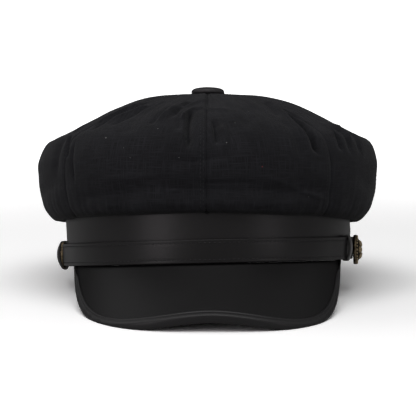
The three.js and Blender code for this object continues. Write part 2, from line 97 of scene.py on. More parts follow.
LAST_ROW = len(CROWN_ROWS) - 1
ROW_AT = {row[0]: i / LAST_ROW for i, row in enumerate(CROWN_ROWS)}
AT_FRONT, AT_SIDE, AT_BACK = (np.array([row[k] for row in CROWN_ROWS], float) for k in (1, 2, 3))
SEAMS = [-0.5, 43.5, 88, 134, 180, 225, 268, 306]  # azimuths in degrees, growing to the right of the front
SEAM_DEPTHS = [0.7, 0.25, 0.5, 0.6, 0.8, 0.6, 0.5, 0.22]  # how deep the cloth rolls into each seam

CREASES = [
    # azimuth and row at each end, width and height in millimetres, sharpness, how lopsided it is
    ((-8, 4.45), (-6.3, 6.7), 2.1, -5, 1.7, 0.2),
    ((-10, 5), (-7.8, 4.3), 1.4, 2.2, 1.6, 0),
    ((-7.8, 4.3), (-2.5, 4.12), 1.5, 1.6, 1.6, 0),
    ((-2.5, 4.12), (9, 4.4), 2.4, 1, 1.6, 0),
    ((-12, 4.6), (-10, 5.8), 2, -1.6, 1.5, 0),
    ((-17.5, 5.1), (-12, 3.2), 1.8, 2, 1.5, 0),
    ((-14.5, 4.4), (0, 2.6), 1.5, 1.6, 1.5, 0),
    ((-14.5, 5), (-10, 3.3), 1.5, -1.6, 1.5, 0),
    ((-19, 5.2), (-16.5, 4.2), 1.4, 1.4, 1.4, 0),
    ((-21, 5.4), (-18, 4), 1.8, -1.4, 1.5, 0),
    ((-45.5, 2.9), (-50, 4.8), 1.5, 2.2, 1.4, 0),
    ((-42.5, 3), (-47, 5.3), 1.7, -2.4, 1.4, 0),
    ((-34, 3.6), (-42, 4.9), 1.6, 1.7, 1.4, 0),
    ((-30, 3.4), (-38, 5.2), 2.2, -1.8, 1.5, 0),
    ((-27, 3), (-31, 4.4), 2, 1, 1.6, 0),
    ((-62, 4.6), (-58, 6), 1.8, 1.4, 1.4, 0),
    ((-57, 5.8), (-53.5, 7), 1.4, -2.2, 1.5, 0),
    ((-51, 6.4), (-48.5, 8.4), 1.4, -1.2, 1.5, 0),
    ((-31, 4.4), (-28, 6), 6, -1.4, 1.5, 0),
    ((2, 5.3), (2.8, 6.6), 1.9, -2.6, 1.5, 0.4),
    ((5, 5.6), (5.6, 7), 2.4, 0.9, 1.8, 0),
    ((7.5, 5.4), (8.5, 7.2), 3, -0.9, 1.6, 0),
    ((12, 5), (14, 2), 5, 1.2, 1.6, 0),
    ((17, 4.2), (15, 5.8), 3, -0.9, 1.6, 0),
    ((42, 2.9), (34, 4.7), 2.2, 2.2, 1.5, 0),
    ((38, 3.1), (30, 4.6), 2.2, -1.5, 1.5, 0),
    ((23, 2), (24, 4), 5, 1.5, 1.6, 0),
    ((42, 4.1), (38.3, 5.6), 2.4, -5, 1.3, -0.45),
    ((38.3, 5.5), (37.8, 6.9), 1.9, -4.2, 1.4, -0.45),
    ((34.5, 4.8), (34.8, 7), 2.2, 1.1, 1.6, 0),
    ((30, 5.2), (31, 7.2), 3, -0.8, 1.6, 0),
    ((51.5, 5.5), (50, 6.7), 1.5, -3.4, 1.5, -0.3),
    ((54, 4.8), (49, 5.9), 1.6, 1.7, 1.4, 0),
    ((60, 4.7), (56, 6.2), 1.6, 2.2, 1.4, 0),
    ((57, 5), (54, 6.8), 1.5, -1.9, 1.5, 0),
    ((64, 5), (60, 6.8), 1.8, -2, 1.4, 0),
    ((70, 3), (74, 6), 7, -1.6, 1.5, 0),
    ((-60, 5), (-59, 8), 4, -1.7, 1.3, 0),
    ((-78, 3), (-75, 7), 6, -1.2, 1.5, 0),
    ((-84, 2), (-80, 7), 32, -2, 2, 0),
    ((100, 3.4), (104, 6), 3, -2, 1.4, 0),
    ((112, 4), (108, 7), 5, -2.2, 1.3, 0),
    ((118, 3), (114, 5.4), 2.4, 1.6, 1.4, 0),
    ((152, 3), (158, 7), 6, -2.4, 1.3, 0),
    ((147, 3.2), (151, 5.8), 2.4, 1.4, 1.5, 0),
    ((170, 4.2), (172, 6.4), 1.8, -2.6, 1.5, 0),
    ((196, 4), (191, 8), 5, -2.4, 1.3, 0),
    ((203, 3), (199, 5.6), 2.2, 1.6, 1.4, 0),
    ((214, 4.4), (211, 6.6), 2, -2.4, 1.4, 0),
    ((243, 3), (247, 6), 6, -2, 1.4, 0),
    ((252, 4.4), (256, 6.8), 2.2, -2, 1.4, 0),
    ((-22, 8.65), (44, 8.85), 5, -1.9, 1.4, 0),
    ((-4, 8.42), (15, 8.45), 1, -1, 1.5, 0),
    ((-46, 9.3), (-20, 8.8), 5, -1.2, 1.5, 0),
    ((-20, 9.6), (30, 9.55), 4, 0.7, 1.8, 0),
    ((18, 8.2), (40, 9.3), 1.8, 0.9, 1.6, 0),
    ((-12, 7.6), (4, 7.3), 2, -0.9, 1.6, 0),
    ((-34, 8.3), (-14, 8.1), 2, 0.6, 1.6, 0),
    ((56, 8.2), (84, 9.2), 5, -0.8, 1.5, 0),
    ((96, 9.1), (130, 8.4), 6, -1.6, 1.4, 0),
    ((276, 9.2), (302, 8.5), 5, -1.2, 1.5, 0),
    ((140, 8.7), (182, 8.5), 6, -1.8, 1.4, 0),
    ((186, 8.3), (232, 9.1), 6, -1.8, 1.4, 0),
]
CREASE_ENDS = -0.15, 0.2, 0.8, 1.15  # shares of its length over which a crease begins and runs out
ROW_LENGTH = 12.5  # cloth between two rows on the crown's wall


def smoothstep(value, low, high):
    share = np.clip((value - low) / (high - low), 0, 1)
    return share * share * (3 - 2 * share)


def within(value, start, full, fading, end):
    """Grows from 0 to 1 between the first two values, and falls back to 0 between the last two."""
    return smoothstep(value, start, full) * (1 - smoothstep(value, fading, end))


def between_rows(down, *rows):
    return within(down, *(ROW_AT[row] for row in rows))


def noise_at(points, size):
    return np.array([noise.noise(Vector(point / size)) for point in points])


def unit(vectors):
    return vectors / np.linalg.norm(vectors, axis=-1, keepdims=True)


def apart(azimuth, other):
    """The angle from one azimuth to another, the shorter way round."""
    offset = azimuth - other
    return offset - 2 * math.pi * np.round(offset / (2 * math.pi))


def row_points(azimuth, row):
    """Reach and height of the crown's rows, before they swell, at as many azimuths."""
    end = np.where(np.cos(azimuth)[:, None] > 0, AT_FRONT[row], AT_BACK[row])
    side = AT_SIDE[row]
    reach = 1 / np.hypot(np.sin(azimuth) / side[:, 0], np.cos(azimuth) / end[:, 0])
    height = side[:, 1] + (end[:, 1] - side[:, 1]) * np.cos(azimuth) ** 2
    return np.stack([reach, height], 1)


def crown_outline(azimuth, down):
    """Points of the crown's plain outline: a centripetal spline through the rows at each azimuth."""
    place = np.clip(down, 0, 1) * LAST_ROW
    row = np.minimum(place.astype(int), LAST_ROW - 1)
    share = (place - row)[:, None]
    here, there = row_points(azimuth, row), row_points(azimuth, row + 1)
    before = np.where(row[:, None] == 0, 2 * here - there, row_points(azimuth, np.maximum(row - 1, 0)))
    after = np.where(
        row[:, None] == LAST_ROW - 1, 2 * there - here, row_points(azimuth, np.minimum(row + 2, LAST_ROW))
    )
    steps = [
        np.sqrt(np.linalg.norm(b - a, axis=1, keepdims=True))
        for a, b in ((before, here), (here, there), (there, after))
    ]
    first, middle, last = steps
    leaving = (here - before) / first - (there - before) / (first + middle) + (there - here) / middle
    arriving = (there - here) / middle - (after - here) / (middle + last) + (after - there) / last
    leaving, arriving = leaving * middle, arriving * middle
    square = 3 * (there - here) - 2 * leaving - arriving
    cube = 2 * (here - there) + leaving + arriving
    reach, height = (here + share * (leaving + share * (square + share * cube))).T
    return np.stack([reach * np.sin(azimuth), -reach * np.cos(azimuth), height], 1)


def ridge(distance, width, sharpness):
    return np.exp(-((np.abs(distance) / width) ** sharpness))


def crease_height(azimuth, down, reach):
    """How far the creases lift or sink the cloth."""
    height = np.zeros_like(azimuth)
    for (first_turn, first_row), (last_turn, last_row), width, lift, sharpness, lopsided in CREASES:
        over = apart(azimuth, math.radians(first_turn)) * reach
        along = (down * LAST_ROW - first_row) * ROW_LENGTH
        run_over = math.radians(last_turn - first_turn) * reach
        run_along = (last_row - first_row) * ROW_LENGTH
        run = np.hypot(run_over, run_along)
        share = (over * run_over + along * run_along) / run**2
        aside = (over * run_along - along * run_over) / run
        width_here = width * (1 + lopsided * np.sign(aside))
        height += lift * within(share, *CREASE_ENDS) * ridge(aside, width_here, sharpness)
    return height


def square_to(azimuth, down):
    """Unit vectors that face out of the crown's plain outline."""
    step = 0.004
    across = crown_outline(azimuth + step, down) - crown_outline(azimuth - step, down)
    lower, upper = np.minimum(down + step, 1), np.maximum(down - step, 0)
    along = crown_outline(azimuth, lower) - crown_outline(azimuth, upper)
    return unit(np.cross(along, across))


SEAM_ROLL_WIDTH = 1.0
ALLOWANCE, ALLOWANCE_EDGE = 4.2, 0.7  # width of the allowance under the end of each panel, and its soft edge
ALLOWANCE_RISE = 0.3
TOPSTITCHES = (1.6, 3.3)  # distance of the two rows of topstitching from the seam
STITCH_SINK, STITCH_SPREAD = 0.16, 0.5
GATHERS, GATHER_TURNS = 0.4, 26  # height of the gathers at the foot and the button, and how close they stand
RUMPLE, RUMPLE_SIZE, SMALL_RUMPLE_SIZE = 0.6, 26, 11  # the unevenness all over
CALM, LIVELY = 2, 14  # distances from a seam within which the cloth is smoother, and beyond which it isn't
HEM_ROLLS = [(9.9, 0.5, 0.8), (10.9, 0.4, -0.45)]  # row, spread and lift of the roll and the tuck under it


def panel_ends(number):
    first = math.radians(SEAMS[number])
    turn = math.radians((SEAMS[(number + 1) % len(SEAMS)] - SEAMS[number]) % 360)
    return first, turn


def crown_surface(azimuth, down, number):
    """Points of a panel's outer face, in the cap's own frame, and where they lie in its flat cut."""
    first, turn = panel_ends(number)
    share = np.clip((azimuth - first) / turn, 0, 1)
    point = crown_outline(azimuth, down)
    reach = np.hypot(point[:, 0], point[:, 1])
    from_start = share * turn * reach
    from_end = (1 - share) * turn * reach
    loose = between_rows(down, "rim", "ridge", "hem", "tuck")
    lift = loose * (PUFF * (4 * share * (1 - share)) ** PUFF_FULLNESS + crease_height(azimuth, down, reach))
    away = smoothstep(np.minimum(from_start, from_end), CALM, LIVELY)
    rumple = noise_at(point, RUMPLE_SIZE) + 0.45 * noise_at(point, SMALL_RUMPLE_SIZE)
    around = noise_at(np.stack([azimuth * GATHER_TURNS, down * 3, 0 * down], 1), 1)
    foot = between_rows(down, "equator", "hem", "hem", "fold")
    crest = between_rows(down, "rim", "dome", "slope", "corner")
    lift += loose * (0.4 + 0.6 * away) * RUMPLE * rumple + GATHERS * (foot + 1.3 * crest) * around
    for row, spread, height in HEM_ROLLS:
        lift += height * ridge(down * LAST_ROW - row, spread, 2)
    start_depth, end_depth = SEAM_DEPTHS[number], SEAM_DEPTHS[(number + 1) % len(SEAMS)]
    lift -= start_depth * ridge(from_start, SEAM_ROLL_WIDTH, 2)
    lift -= end_depth * ridge(from_end, SEAM_ROLL_WIDTH, 2)
    allowance = 1 - smoothstep(from_end, ALLOWANCE - ALLOWANCE_EDGE, ALLOWANCE + ALLOWANCE_EDGE)
    rows = sum(ridge(from_end - distance, STITCH_SPREAD, 2) for distance in TOPSTITCHES)
    lift += end_depth * (ALLOWANCE_RISE * allowance - STITCH_SINK * rows)
    cut = np.stack([(share - 0.5) * turn * reach, down * LAST_ROW * ROW_LENGTH], 1)
    return point + square_to(azimuth, down) * lift[:, None], cut


def placed_grid(columns, rows, place):
    """A grid of quads with its points placed by place(across, along), which go from 0 to 1."""
    mesh = bmesh.new()
    layer = mesh.loops.layers.uv.new("cut")
    bmesh.ops.create_grid(mesh, x_segments=columns, y_segments=rows, size=0.5)
    across = np.array([v.co.x for v in mesh.verts]) + 0.5
    along = np.array([v.co.y for v in mesh.verts]) + 0.5
    mesh.verts.index_update()
    points, cut = place(across, along)
    points = points * MM @ rest_turn.T + rest_shift
    for vertex, point in zip(mesh.verts, points):
        vertex.co = point
    for face in mesh.faces:
        for corner in face.loops:
            corner[layer].uv = cut[corner.vert.index] * MM
    return mesh


def finished(name, mesh, material, replaces=()):
    """Makes a piece of a mesh that is in place, with its material, hangs it from the root, and hides the
    parts that it replaces.
    """
    data = bpy.data.meshes.new(name)
    mesh.to_mesh(data)
    mesh.free()
    data.shade_smooth()
    data.materials.append(material)
    piece = new_object(name, data)
    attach(piece, "root")
    if replaces:
        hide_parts(*replaces)
    return piece


def add_modifier(piece, kind, **settings):
    modifier = piece.modifiers.new(kind.lower(), kind)
    for name, value in settings.items():
        setattr(modifier, name, value)


def feed(tree, node, inputs):
    """Gives a node its inputs, each of them a value or another node's output."""
    for socket, value in inputs.items():
        if isinstance(value, bpy.types.NodeSocket):
            tree.links.new(value, node.inputs[socket])
        else:
            node.inputs[socket].default_value = value


def add_node(tree, kind, settings=None, **inputs):
    """Adds a shader node. An input is named, or numbered as in slot_1."""
    made = tree.nodes.new("ShaderNode" + kind)
    for name, value in (settings or {}).items():
        setattr(made, name, value)
    for name, value in inputs.items():
        feed(tree, made, {int(name[5:]) if name.startswith("slot_") else name: value})
    return made


def math_node(tree, operation, *values, clamp=False):
    inputs = {f"slot_{i}": value for i, value in enumerate(values)}
    return add_node(tree, "Math", {"operation": operation, "use_clamp": clamp}, **inputs).outputs[0]


def mapped(tree, value, low, high, at_low=0.0, at_high=1.0, kind="SMOOTHSTEP"):
    ends = {"slot_1": low, "slot_2": high, "slot_3": at_low, "slot_4": at_high}
    return add_node(tree, "MapRange", {"interpolation_type": kind}, slot_0=value, **ends).outputs[0]


def new_group(name, inputs, outputs):
    """A shader node group with float or vector inputs and outputs, and its two end nodes."""
    group = bpy.data.node_groups.new(name, "ShaderNodeTree")
    for socket, kind, value in inputs:
        made = group.interface.new_socket(socket, in_out="INPUT", socket_type="NodeSocket" + kind)
        if value is not None:
            made.default_value = value
    for socket, kind in outputs:
        group.interface.new_socket(socket, in_out="OUTPUT", socket_type="NodeSocket" + kind)
    return group, group.nodes.new("NodeGroupInput"), group.nodes.new("NodeGroupOutput")


def new_material(name):
    """An empty material with a Principled shader, and its tree."""
    material = bpy.data.materials.new(name)
    material.use_nodes = True
    tree = material.node_tree
    shader = tree.nodes["Principled BSDF"]
    return material, tree, shader


def mixed(tree, share, first, second, blend="MIX"):
    settings = {"data_type": "RGBA", "blend_type": blend}
    return add_node(tree, "Mix", settings, slot_0=share, slot_6=first, slot_7=second).outputs[2]


def shrunk(tree, vector, lengths):
    """A vector divided by a length for each of its axes."""
    size = add_node(tree, "CombineXYZ", slot_0=lengths[0], slot_1=lengths[1], slot_2=lengths[2]).outputs[0]
    return add_node(tree, "VectorMath", {"operation": "DIVIDE"}, slot_0=vector, slot_1=size).outputs[0]


# Plain weave: threads one way and the other that pass over and under, with thicker slubs here and there.
weave, weave_in, weave_out = new_group(
    "plain weave",
    [("Vector", "Vector", None), ("Thread", "Float", 0.0005), ("Slub length", "Float", 0.012)],
    [("Height", "Float"), ("Tone", "Float")],
)
weave_axes = add_node(weave, "SeparateXYZ", Vector=weave_in.outputs["Vector"])
thread_turns = math_node(weave, "DIVIDE", 2 * math.pi, weave_in.outputs["Thread"])
waves = [
    math_node(weave, "SINE", math_node(weave, "MULTIPLY", weave_axes.outputs[axis], thread_turns))
    for axis in (0, 1)
]
crossing = math_node(weave, "MULTIPLY", waves[0], waves[1])
slubs = []
for along in (0, 1):
    lengths = [weave_in.outputs["Thread"]] * 3
    lengths[along] = weave_in.outputs["Slub length"]
    stretched = shrunk(weave, weave_in.outputs["Vector"], lengths)
    yarn = add_node(weave, "TexNoise", Vector=stretched, Scale=0.7, Detail=2.0, Roughness=0.6)
    slubs.append(yarn.outputs["Fac"])
both_slubs = math_node(weave, "MAXIMUM", slubs[0], slubs[1])
weave_height = math_node(weave, "ADD", math_node(weave, "MULTIPLY", crossing, 0.3), both_slubs)
tone = math_node(weave, "MULTIPLY_ADD", math_node(weave, "SUBTRACT", both_slubs, 0.55), 2.9, 1.0)
feed(weave, weave_out, {"Height": weave_height, "Tone": math_node(weave, "MAXIMUM", tone, 0.45)})

COTTON = (0.0109, 0.0109, 0.0127, 1)
COTTON_THREAD = 0.45 * MM
HEM_SHADE_ROWS = 10.1, 10.7  # rows between which the turned-under cloth is darkened: painted shade under the fold
cotton, tree, shader = new_material("black cotton")
cut_place = add_node(tree, "UVMap", {"uv_map": "cut"}).outputs[0]
threads = add_node(tree, "Group", {"node_tree": weave}, Vector=cut_place, Thread=COTTON_THREAD)
feed(tree, threads, {"Slub length": 9 * MM})
body_place = add_node(tree, "TexCoord").outputs["Object"]
patches = add_node(tree, "TexNoise", Vector=body_place, Scale=32.0, Detail=4.0, Roughness=0.6).outputs["Fac"]
patch_tone_and_hem_shade = math_node(tree, "MULTIPLY_ADD", patches, 0.8, 0.6)
down_the_panel = add_node(tree, "SeparateXYZ", Vector=cut_place).outputs["Y"]
hem_row = math_node(tree, "DIVIDE", down_the_panel, ROW_LENGTH * MM)
# Painted shade: the cloth at the hem's fold is darkened for the shadow along its lower edge. The patches are
# the cloth's own uneven tone.
painted_hem_shade = mapped(tree, hem_row, HEM_SHADE_ROWS[0], HEM_SHADE_ROWS[1])
patch_tone_and_hem_shade = math_node(tree, "MULTIPLY", patch_tone_and_hem_shade, math_node(tree, "MULTIPLY_ADD", painted_hem_shade, -0.8, 1.0))
shade = math_node(tree, "MULTIPLY", threads.outputs["Tone"], patch_tone_and_hem_shade)
feed(tree, shader, {"Base Color": mixed(tree, 1.0, COTTON, shade, "MULTIPLY"), "Roughness": 0.9})
feed(tree, shader, {"Specular IOR Level": 0.1, "Sheen Weight": 0.05, "Sheen Roughness": 0.45})
weave_bump = add_node(tree, "Bump", Strength=0.5, Distance=0.25 * MM, Height=threads.outputs["Height"])
wrinkles = add_node(
    tree, "TexNoise", Vector=body_place, Scale=170.0, Detail=5.0, Roughness=0.62, Distortion=0.6
).outputs["Fac"]
crease_bump = add_node(tree, "Bump", Strength=0.35, Distance=0.8 * MM, Height=wrinkles)
feed(tree, crease_bump, {"Normal": weave_bump.outputs[0]})
feed(tree, shader, {"Normal": crease_bump.outputs[0]})

FRONT_GRID, OTHER_GRID = (180, 190), (84, 116)
SEAM_CROWDING = 0.6  # how much closer the columns stand at the seams than between them
for number in range(len(SEAMS)):
    first, turn = panel_ends(number)
    columns, rows = FRONT_GRID if number in (0, len(SEAMS) - 1) else OTHER_GRID

    def place_panel(across, along):
        share = across - SEAM_CROWDING * np.sin(2 * math.pi * across) / (2 * math.pi)
        plain = crown_outline(np.full_like(along, first), along)
        margin = PANEL_GAP / 2 / (np.hypot(plain[:, 0], plain[:, 1]) * turn)
        share = margin + share * (1 - 2 * margin)
        return crown_surface(first + turn * share, along, number)

    panel = placed_grid(columns, rows, place_panel)
    panel_area = sum(face.calc_area() for face in panel.faces)
    bmesh.ops.recalc_face_normals(panel, faces=panel.faces)
    middle_face = min(panel.faces, key=lambda face: -face.calc_center_median().z)
    if middle_face.normal.z < 0:
        bmesh.ops.reverse_faces(panel, faces=panel.faces)
    piece = finished(
        f"crown_cloth_{number + 1}", panel, cotton, [f"crown_panel_{number + 1}"]
    )
    add_modifier(piece, "SOLIDIFY", thickness=CLOTH * MM, offset=-1)

# Topstitching of the crown
# Two rows of black sewing thread along each seam, stitched by machine through the allowance that is
# pressed under the cloth, from below the top button down to the hem.
CROWN_STITCH, CROWN_STITCH_PITCH = 1.7, 2.5
CROWN_THREAD_RADIUS, CROWN_THREAD_SINK = 0.2, 0.03
crown_thread, tree, shader = new_material("black sewing thread")
feed(tree, shader, {"Base Color": (0.018, 0.018, 0.0195, 1), "Roughness": 0.6, "Specular IOR Level": 0.12})


def in_place(mesh):
    """Sets a mesh that is drawn in millimetres in the cap's own frame to its place in the scene."""
    for vertex in mesh.verts:
        vertex.co = at_rest @ (vertex.co * MM)


def stitches(starts, ends, facings, radius, sunk):
    """A mesh of stitches between pairs of points in the cap's own frame; facings stand off the surface."""
    mesh = bmesh.new()
    for start, end, facing in zip(starts, ends, facings):
        run = Vector(end - start)
        facing = Vector(facing)
        side = facing.cross(run).normalized()
        place = Matrix.Translation(Vector((start + end) / 2) - facing * sunk)
        turn = Matrix([run.normalized(), side, run.normalized().cross(side)]).transposed().to_4x4()
        size = Matrix.Diagonal((run.length / 2, radius, radius, 1))
        bmesh.ops.create_uvsphere(mesh, u_segments=6, v_segments=5, radius=1, matrix=place @ turn @ size)
    in_place(mesh)
    return mesh


for number in range(len(SEAMS)):
    first, turn = panel_ends(number)
    way = np.linspace(ROW_AT["rim"] + 0.01, ROW_AT["hem"] + 0.01, 800)
    for distance in TOPSTITCHES:
        plain = crown_outline(np.full_like(way, first + turn), way)
        azimuth = first + turn - distance / np.hypot(plain[:, 0], plain[:, 1])
        line, _ = crown_surface(azimuth, way, number)
        length = np.concatenate([[0], np.cumsum(np.linalg.norm(np.diff(line, axis=0), axis=1))])
        starts = np.arange(0.5, length[-1] - CROWN_STITCH, CROWN_STITCH_PITCH)
        points = [
            np.stack([np.interp(at, length, line[:, axis]) for axis in range(3)], 1)
            for at in (starts, starts + CROWN_STITCH)
        ]
        middle = np.interp(starts + CROWN_STITCH / 2, length, way)
        facings = square_to(np.interp(middle, way, azimuth), middle)
        row = stitches(*points, facings, CROWN_THREAD_RADIUS, CROWN_THREAD_SINK)
        finished(f"crown_stitches_{number + 1}_{distance:.0f}", row, crown_thread)

# Lint
# Specks of pale lint, and a red one, of fluff from other cloth. They aren't fixed: they cling to the nap
# on the front of the crown.
PALE_LINT = [
    # azimuth, row, size in millimetres
    (-36, 6.23, 0.42),
    (-17.5, 5.79, 0.3),
    (-9, 7.32, 0.26),
    (6, 6.62, 0.34),
    (50, 6.44, 0.24),
    (-28, 6.8, 0.2),
    (-25, 7.3, 0.2),
    (-0.5, 3.57, 0.24),
    (18, 4.43, 0.2),
    (10, 5.42, 0.18),
    (34, 9.2, 0.18),
]
RED_LINT = [(17, 7.72, 0.36)]


def set_off(spot, facing):
    """The place of a thing that stands on a spot and faces off the surface there."""
    return Matrix.Translation(spot) @ facing.to_track_quat("Z", "Y").to_matrix().to_4x4()


def lint(name, specks, colour):
    material, tree, shader = new_material(name)
    feed(tree, shader, {"Base Color": colour, "Roughness": 0.9})
    mesh = bmesh.new()
    for degrees, row, size in specks:
        azimuth, down = np.array([math.radians(degrees)]), np.array([row / LAST_ROW])
        number = len(SEAMS) - 1 if degrees < SEAMS[0] else (1 if degrees > SEAMS[1] else 0)
        turned = azimuth + (2 * math.pi if number == len(SEAMS) - 1 else 0)
        spot = Vector(crown_surface(turned, down, number)[0][0])
        facing = Vector(square_to(azimuth, down)[0])
        shape = Matrix.Rotation(row, 4, "Z") @ Matrix.Diagonal((size, 0.6 * size, 0.4 * size, 1))
        place = set_off(spot + 0.1 * facing, facing) @ shape
        bmesh.ops.create_icosphere(mesh, subdivisions=1, radius=1, matrix=place)
    in_place(mesh)
    finished(name.replace(" ", "_"), mesh, material)


lint("pale lint", PALE_LINT, (0.3, 0.3, 0.3, 1))
lint("red lint", RED_LINT, (0.22, 0.03, 0.03, 1))

# Top button
# A flat button form covered with thin black leather, which is gathered in under its rim. It is fixed
# through the crown where the eight panels meet.
TOP_BUTTON_SEAT = 103.6
TOP_BUTTON_PROFILE = [
    # distance from its axis and height over its seat, in millimetres
    (0, 0),
    (9.5, -0.3),
    (10.05, 0.1),
    (10.2, 0.7),
    (10.15, 1.4),
    (9.9, 2.2),
    (9.1, 2.9),
    (7.6, 3.5),
    (5.2, 3.95),
    (2.6, 4.15),
    (0, 4.2),
]
GATHER_COUNT, GATHER_DEPTH, GATHER_HEIGHT = 17, 0.14, 1.3
TOP_BUTTON_COLUMNS = 68


def leather_group():
    """Smooth hide: fine pebbles with creases between them, and a slow change of tone."""
    group, entry, result = new_group(
        "smooth hide",
        [("Vector", "Vector", None), ("Pebble", "Float", 0.0009)],
        [("Height", "Float"), ("Tone", "Float")],
    )
    scaled = shrunk(group, entry.outputs["Vector"], [entry.outputs["Pebble"]] * 3)
    cells = add_node(group, "TexVoronoi", {"feature": "SMOOTH_F1"}, Vector=scaled, Scale=1.0)
    pebbles = cells.outputs["Distance"]
    pores = add_node(group, "TexNoise", Vector=scaled, Scale=2.1, Detail=3.0).outputs["Fac"]
    height = math_node(group, "MULTIPLY_ADD", pores, 0.5, math_node(group, "MULTIPLY", pebbles, -0.6))
    slow = add_node(group, "TexNoise", Vector=entry.outputs["Vector"], Scale=38.0, Detail=3.0).outputs["Fac"]
    tone = math_node(group, "MULTIPLY_ADD", slow, 0.5, math_node(group, "MULTIPLY_ADD", pores, 0.3, 0.6))
    feed(group, result, {"Height": height, "Tone": tone})
    return group


hide = leather_group()


def leather(name, colour, roughness, pebble=0.9 * MM, grain=0.22, specular=0.3, edge_loss=1.0):
    """A black leather. Grain is how much its pebbles show, and edge loss how much less it shines edge-on."""
    material, tree, shader = new_material(name)
    place = add_node(tree, "TexCoord").outputs["Object"]
    skin = add_node(tree, "Group", {"node_tree": hide}, Vector=place, Pebble=pebble)
    dyed = mixed(tree, 1.0, colour, skin.outputs["Tone"], "MULTIPLY")
    rough = math_node(tree, "MULTIPLY_ADD", skin.outputs["Tone"], 0.16, roughness - 0.16)
    edge_on = add_node(tree, "LayerWeight", Blend=0.5).outputs["Facing"]
    steeply = math_node(tree, "POWER", edge_on, 3.0)
    shine = math_node(tree, "MULTIPLY_ADD", steeply, -specular * edge_loss, specular)
    bump = add_node(tree, "Bump", Strength=grain, Distance=0.2 * MM, Height=skin.outputs["Height"])
    feed(tree, shader, {"Base Color": dyed, "Roughness": rough, "Specular IOR Level": shine})
    feed(tree, shader, {"Normal": bump.outputs[0]})
    return material


def spun(profile, steps):
    """A closed round body, whose profile from axis to axis is spun once around."""
    mesh = bmesh.new()
    corners = [mesh.verts.new((out, 0, up)) for out, up in profile]
    for pair in zip(corners, corners[1:]):
        mesh.edges.new(pair)
    bmesh.ops.spin(
        mesh,
        geom=mesh.verts[:] + mesh.edges[:],
        cent=(0, 0, 0),
        axis=(0, 0, 1),
        angle=2 * math.pi,
        steps=steps,
        use_merge=True,
    )
    bmesh.ops.remove_doubles(mesh, verts=mesh.verts, dist=0.001)
    bmesh.ops.recalc_face_normals(mesh, faces=mesh.faces)
    return mesh


button_leather = leather("button leather", (0.02, 0.0185, 0.02, 1), 0.5)
button = spun([(out, TOP_BUTTON_SEAT + up) for out, up in TOP_BUTTON_PROFILE], TOP_BUTTON_COLUMNS)
for vertex in button.verts:
    turn = math.atan2(vertex.co.y, vertex.co.x)
    up = vertex.co.z - TOP_BUTTON_SEAT
    fading = math.exp(-((up / GATHER_HEIGHT) ** 2))
    gather = GATHER_DEPTH * math.cos(GATHER_COUNT * turn + math.sin(3 * turn)) * fading
    out = math.hypot(vertex.co.x, vertex.co.y)
    if out > 1:
        vertex.co.xy *= 1 + gather / out
in_place(button)
top_button = finished("covered_button", button, button_leather, ["top_button"])
add_modifier(top_button, "SUBSURF", levels=1, render_levels=1)

# Band
# A strip of leather around the head, turned in at its foot and its top, a little wider at its top. Where
# the cap rests, at the back, its foot is pressed flat.
GAP = 0.3
BAND_HALF_WIDTH, BAND_HALF_LENGTH, BAND_FLARE, BAND_HEIGHT, BAND_THICKNESS = 85.2, 96.5, 2, 31.5, 2.2
FOOT_LEAN = 2.2  # how much higher the band's foot is on the right, and lower on the left
BAND_EDGE = 0.45  # radius of its turned edges
BAND_WAVE, WAVE_RING, WAVE_SIZE = 0.3, 36, 11  # unevenness of its wall
BAND_COLUMNS, BAND_RADIUS = 220, 90  # it lies about so far from the middle of the head
BAND_BULGE = 0.8  # its wall stands out at the right
BULGE_TURN, BULGE_SPREAD = math.radians(84), math.radians(26)
BULGE_TOP, BULGE_END = 19, 26  # the height from which the bulge fades, and where it ends


def band_foot(azimuth):
    return FOOT_LEAN * np.sin(azimuth)


def band_reach(azimuth, height):
    flare = BAND_FLARE * height / BAND_HEIGHT
    return 1 / np.hypot(
        np.sin(azimuth) / (BAND_HALF_WIDTH + flare), np.cos(azimuth) / (BAND_HALF_LENGTH + flare)
    )


def band_facing(azimuth):
    side, front = np.sin(azimuth) / BAND_HALF_WIDTH**2, -np.cos(azimuth) / BAND_HALF_LENGTH**2
    return unit(np.stack([side, front, 0 * azimuth], 1))


def off_band(azimuth, height, out):
    """Points at a distance out from the band's wall."""
    reach = band_reach(azimuth, height)
    wall = np.stack([reach * np.sin(azimuth), -reach * np.cos(azimuth), height + 0 * azimuth], 1)
    bulge = BAND_BULGE * ridge(apart(azimuth, BULGE_TURN), BULGE_SPREAD, 2)
    bulge = bulge * (1 - smoothstep(height, BULGE_TOP, BULGE_END))
    return wall + band_facing(azimuth) * np.reshape(out + bulge, (-1, 1))


def rounded_box(low, high, radius, longest):
    """The closed outline of a box with round corners and no step longer than longest."""
    corners = [(high[0], low[1]), (high[0], high[1]), (low[0], high[1]), (low[0], low[1])]
    inward = [(-1, 1), (-1, -1), (1, -1), (1, 1)]
    path = []
    for i, (corner, side) in enumerate(zip(corners, inward)):
        for k in range(4):
            turn = math.radians(-90 + 90 * i + 30 * k)
            rounding = (math.cos(turn), math.sin(turn))
            path.append([at + radius * (way + bend) for at, way, bend in zip(corner, side, rounding)])
    return densified(path, longest)


def densified(path, longest):
    """A closed outline with points added, that ends where it starts."""
    points = []
    for start, end in zip(path, path[1:] + path[:1]):
        pieces = max(1, math.ceil(math.dist(start, end) / longest))
        points += [[a + (b - a) * k / pieces for a, b in zip(start, end)] for k in range(pieces)]
    return np.array(points + points[:1])


def pick(values, share):
    """The values that stand at as many shares of a list."""
    return values[np.rint(share * (len(values) - 1)).astype(int)]


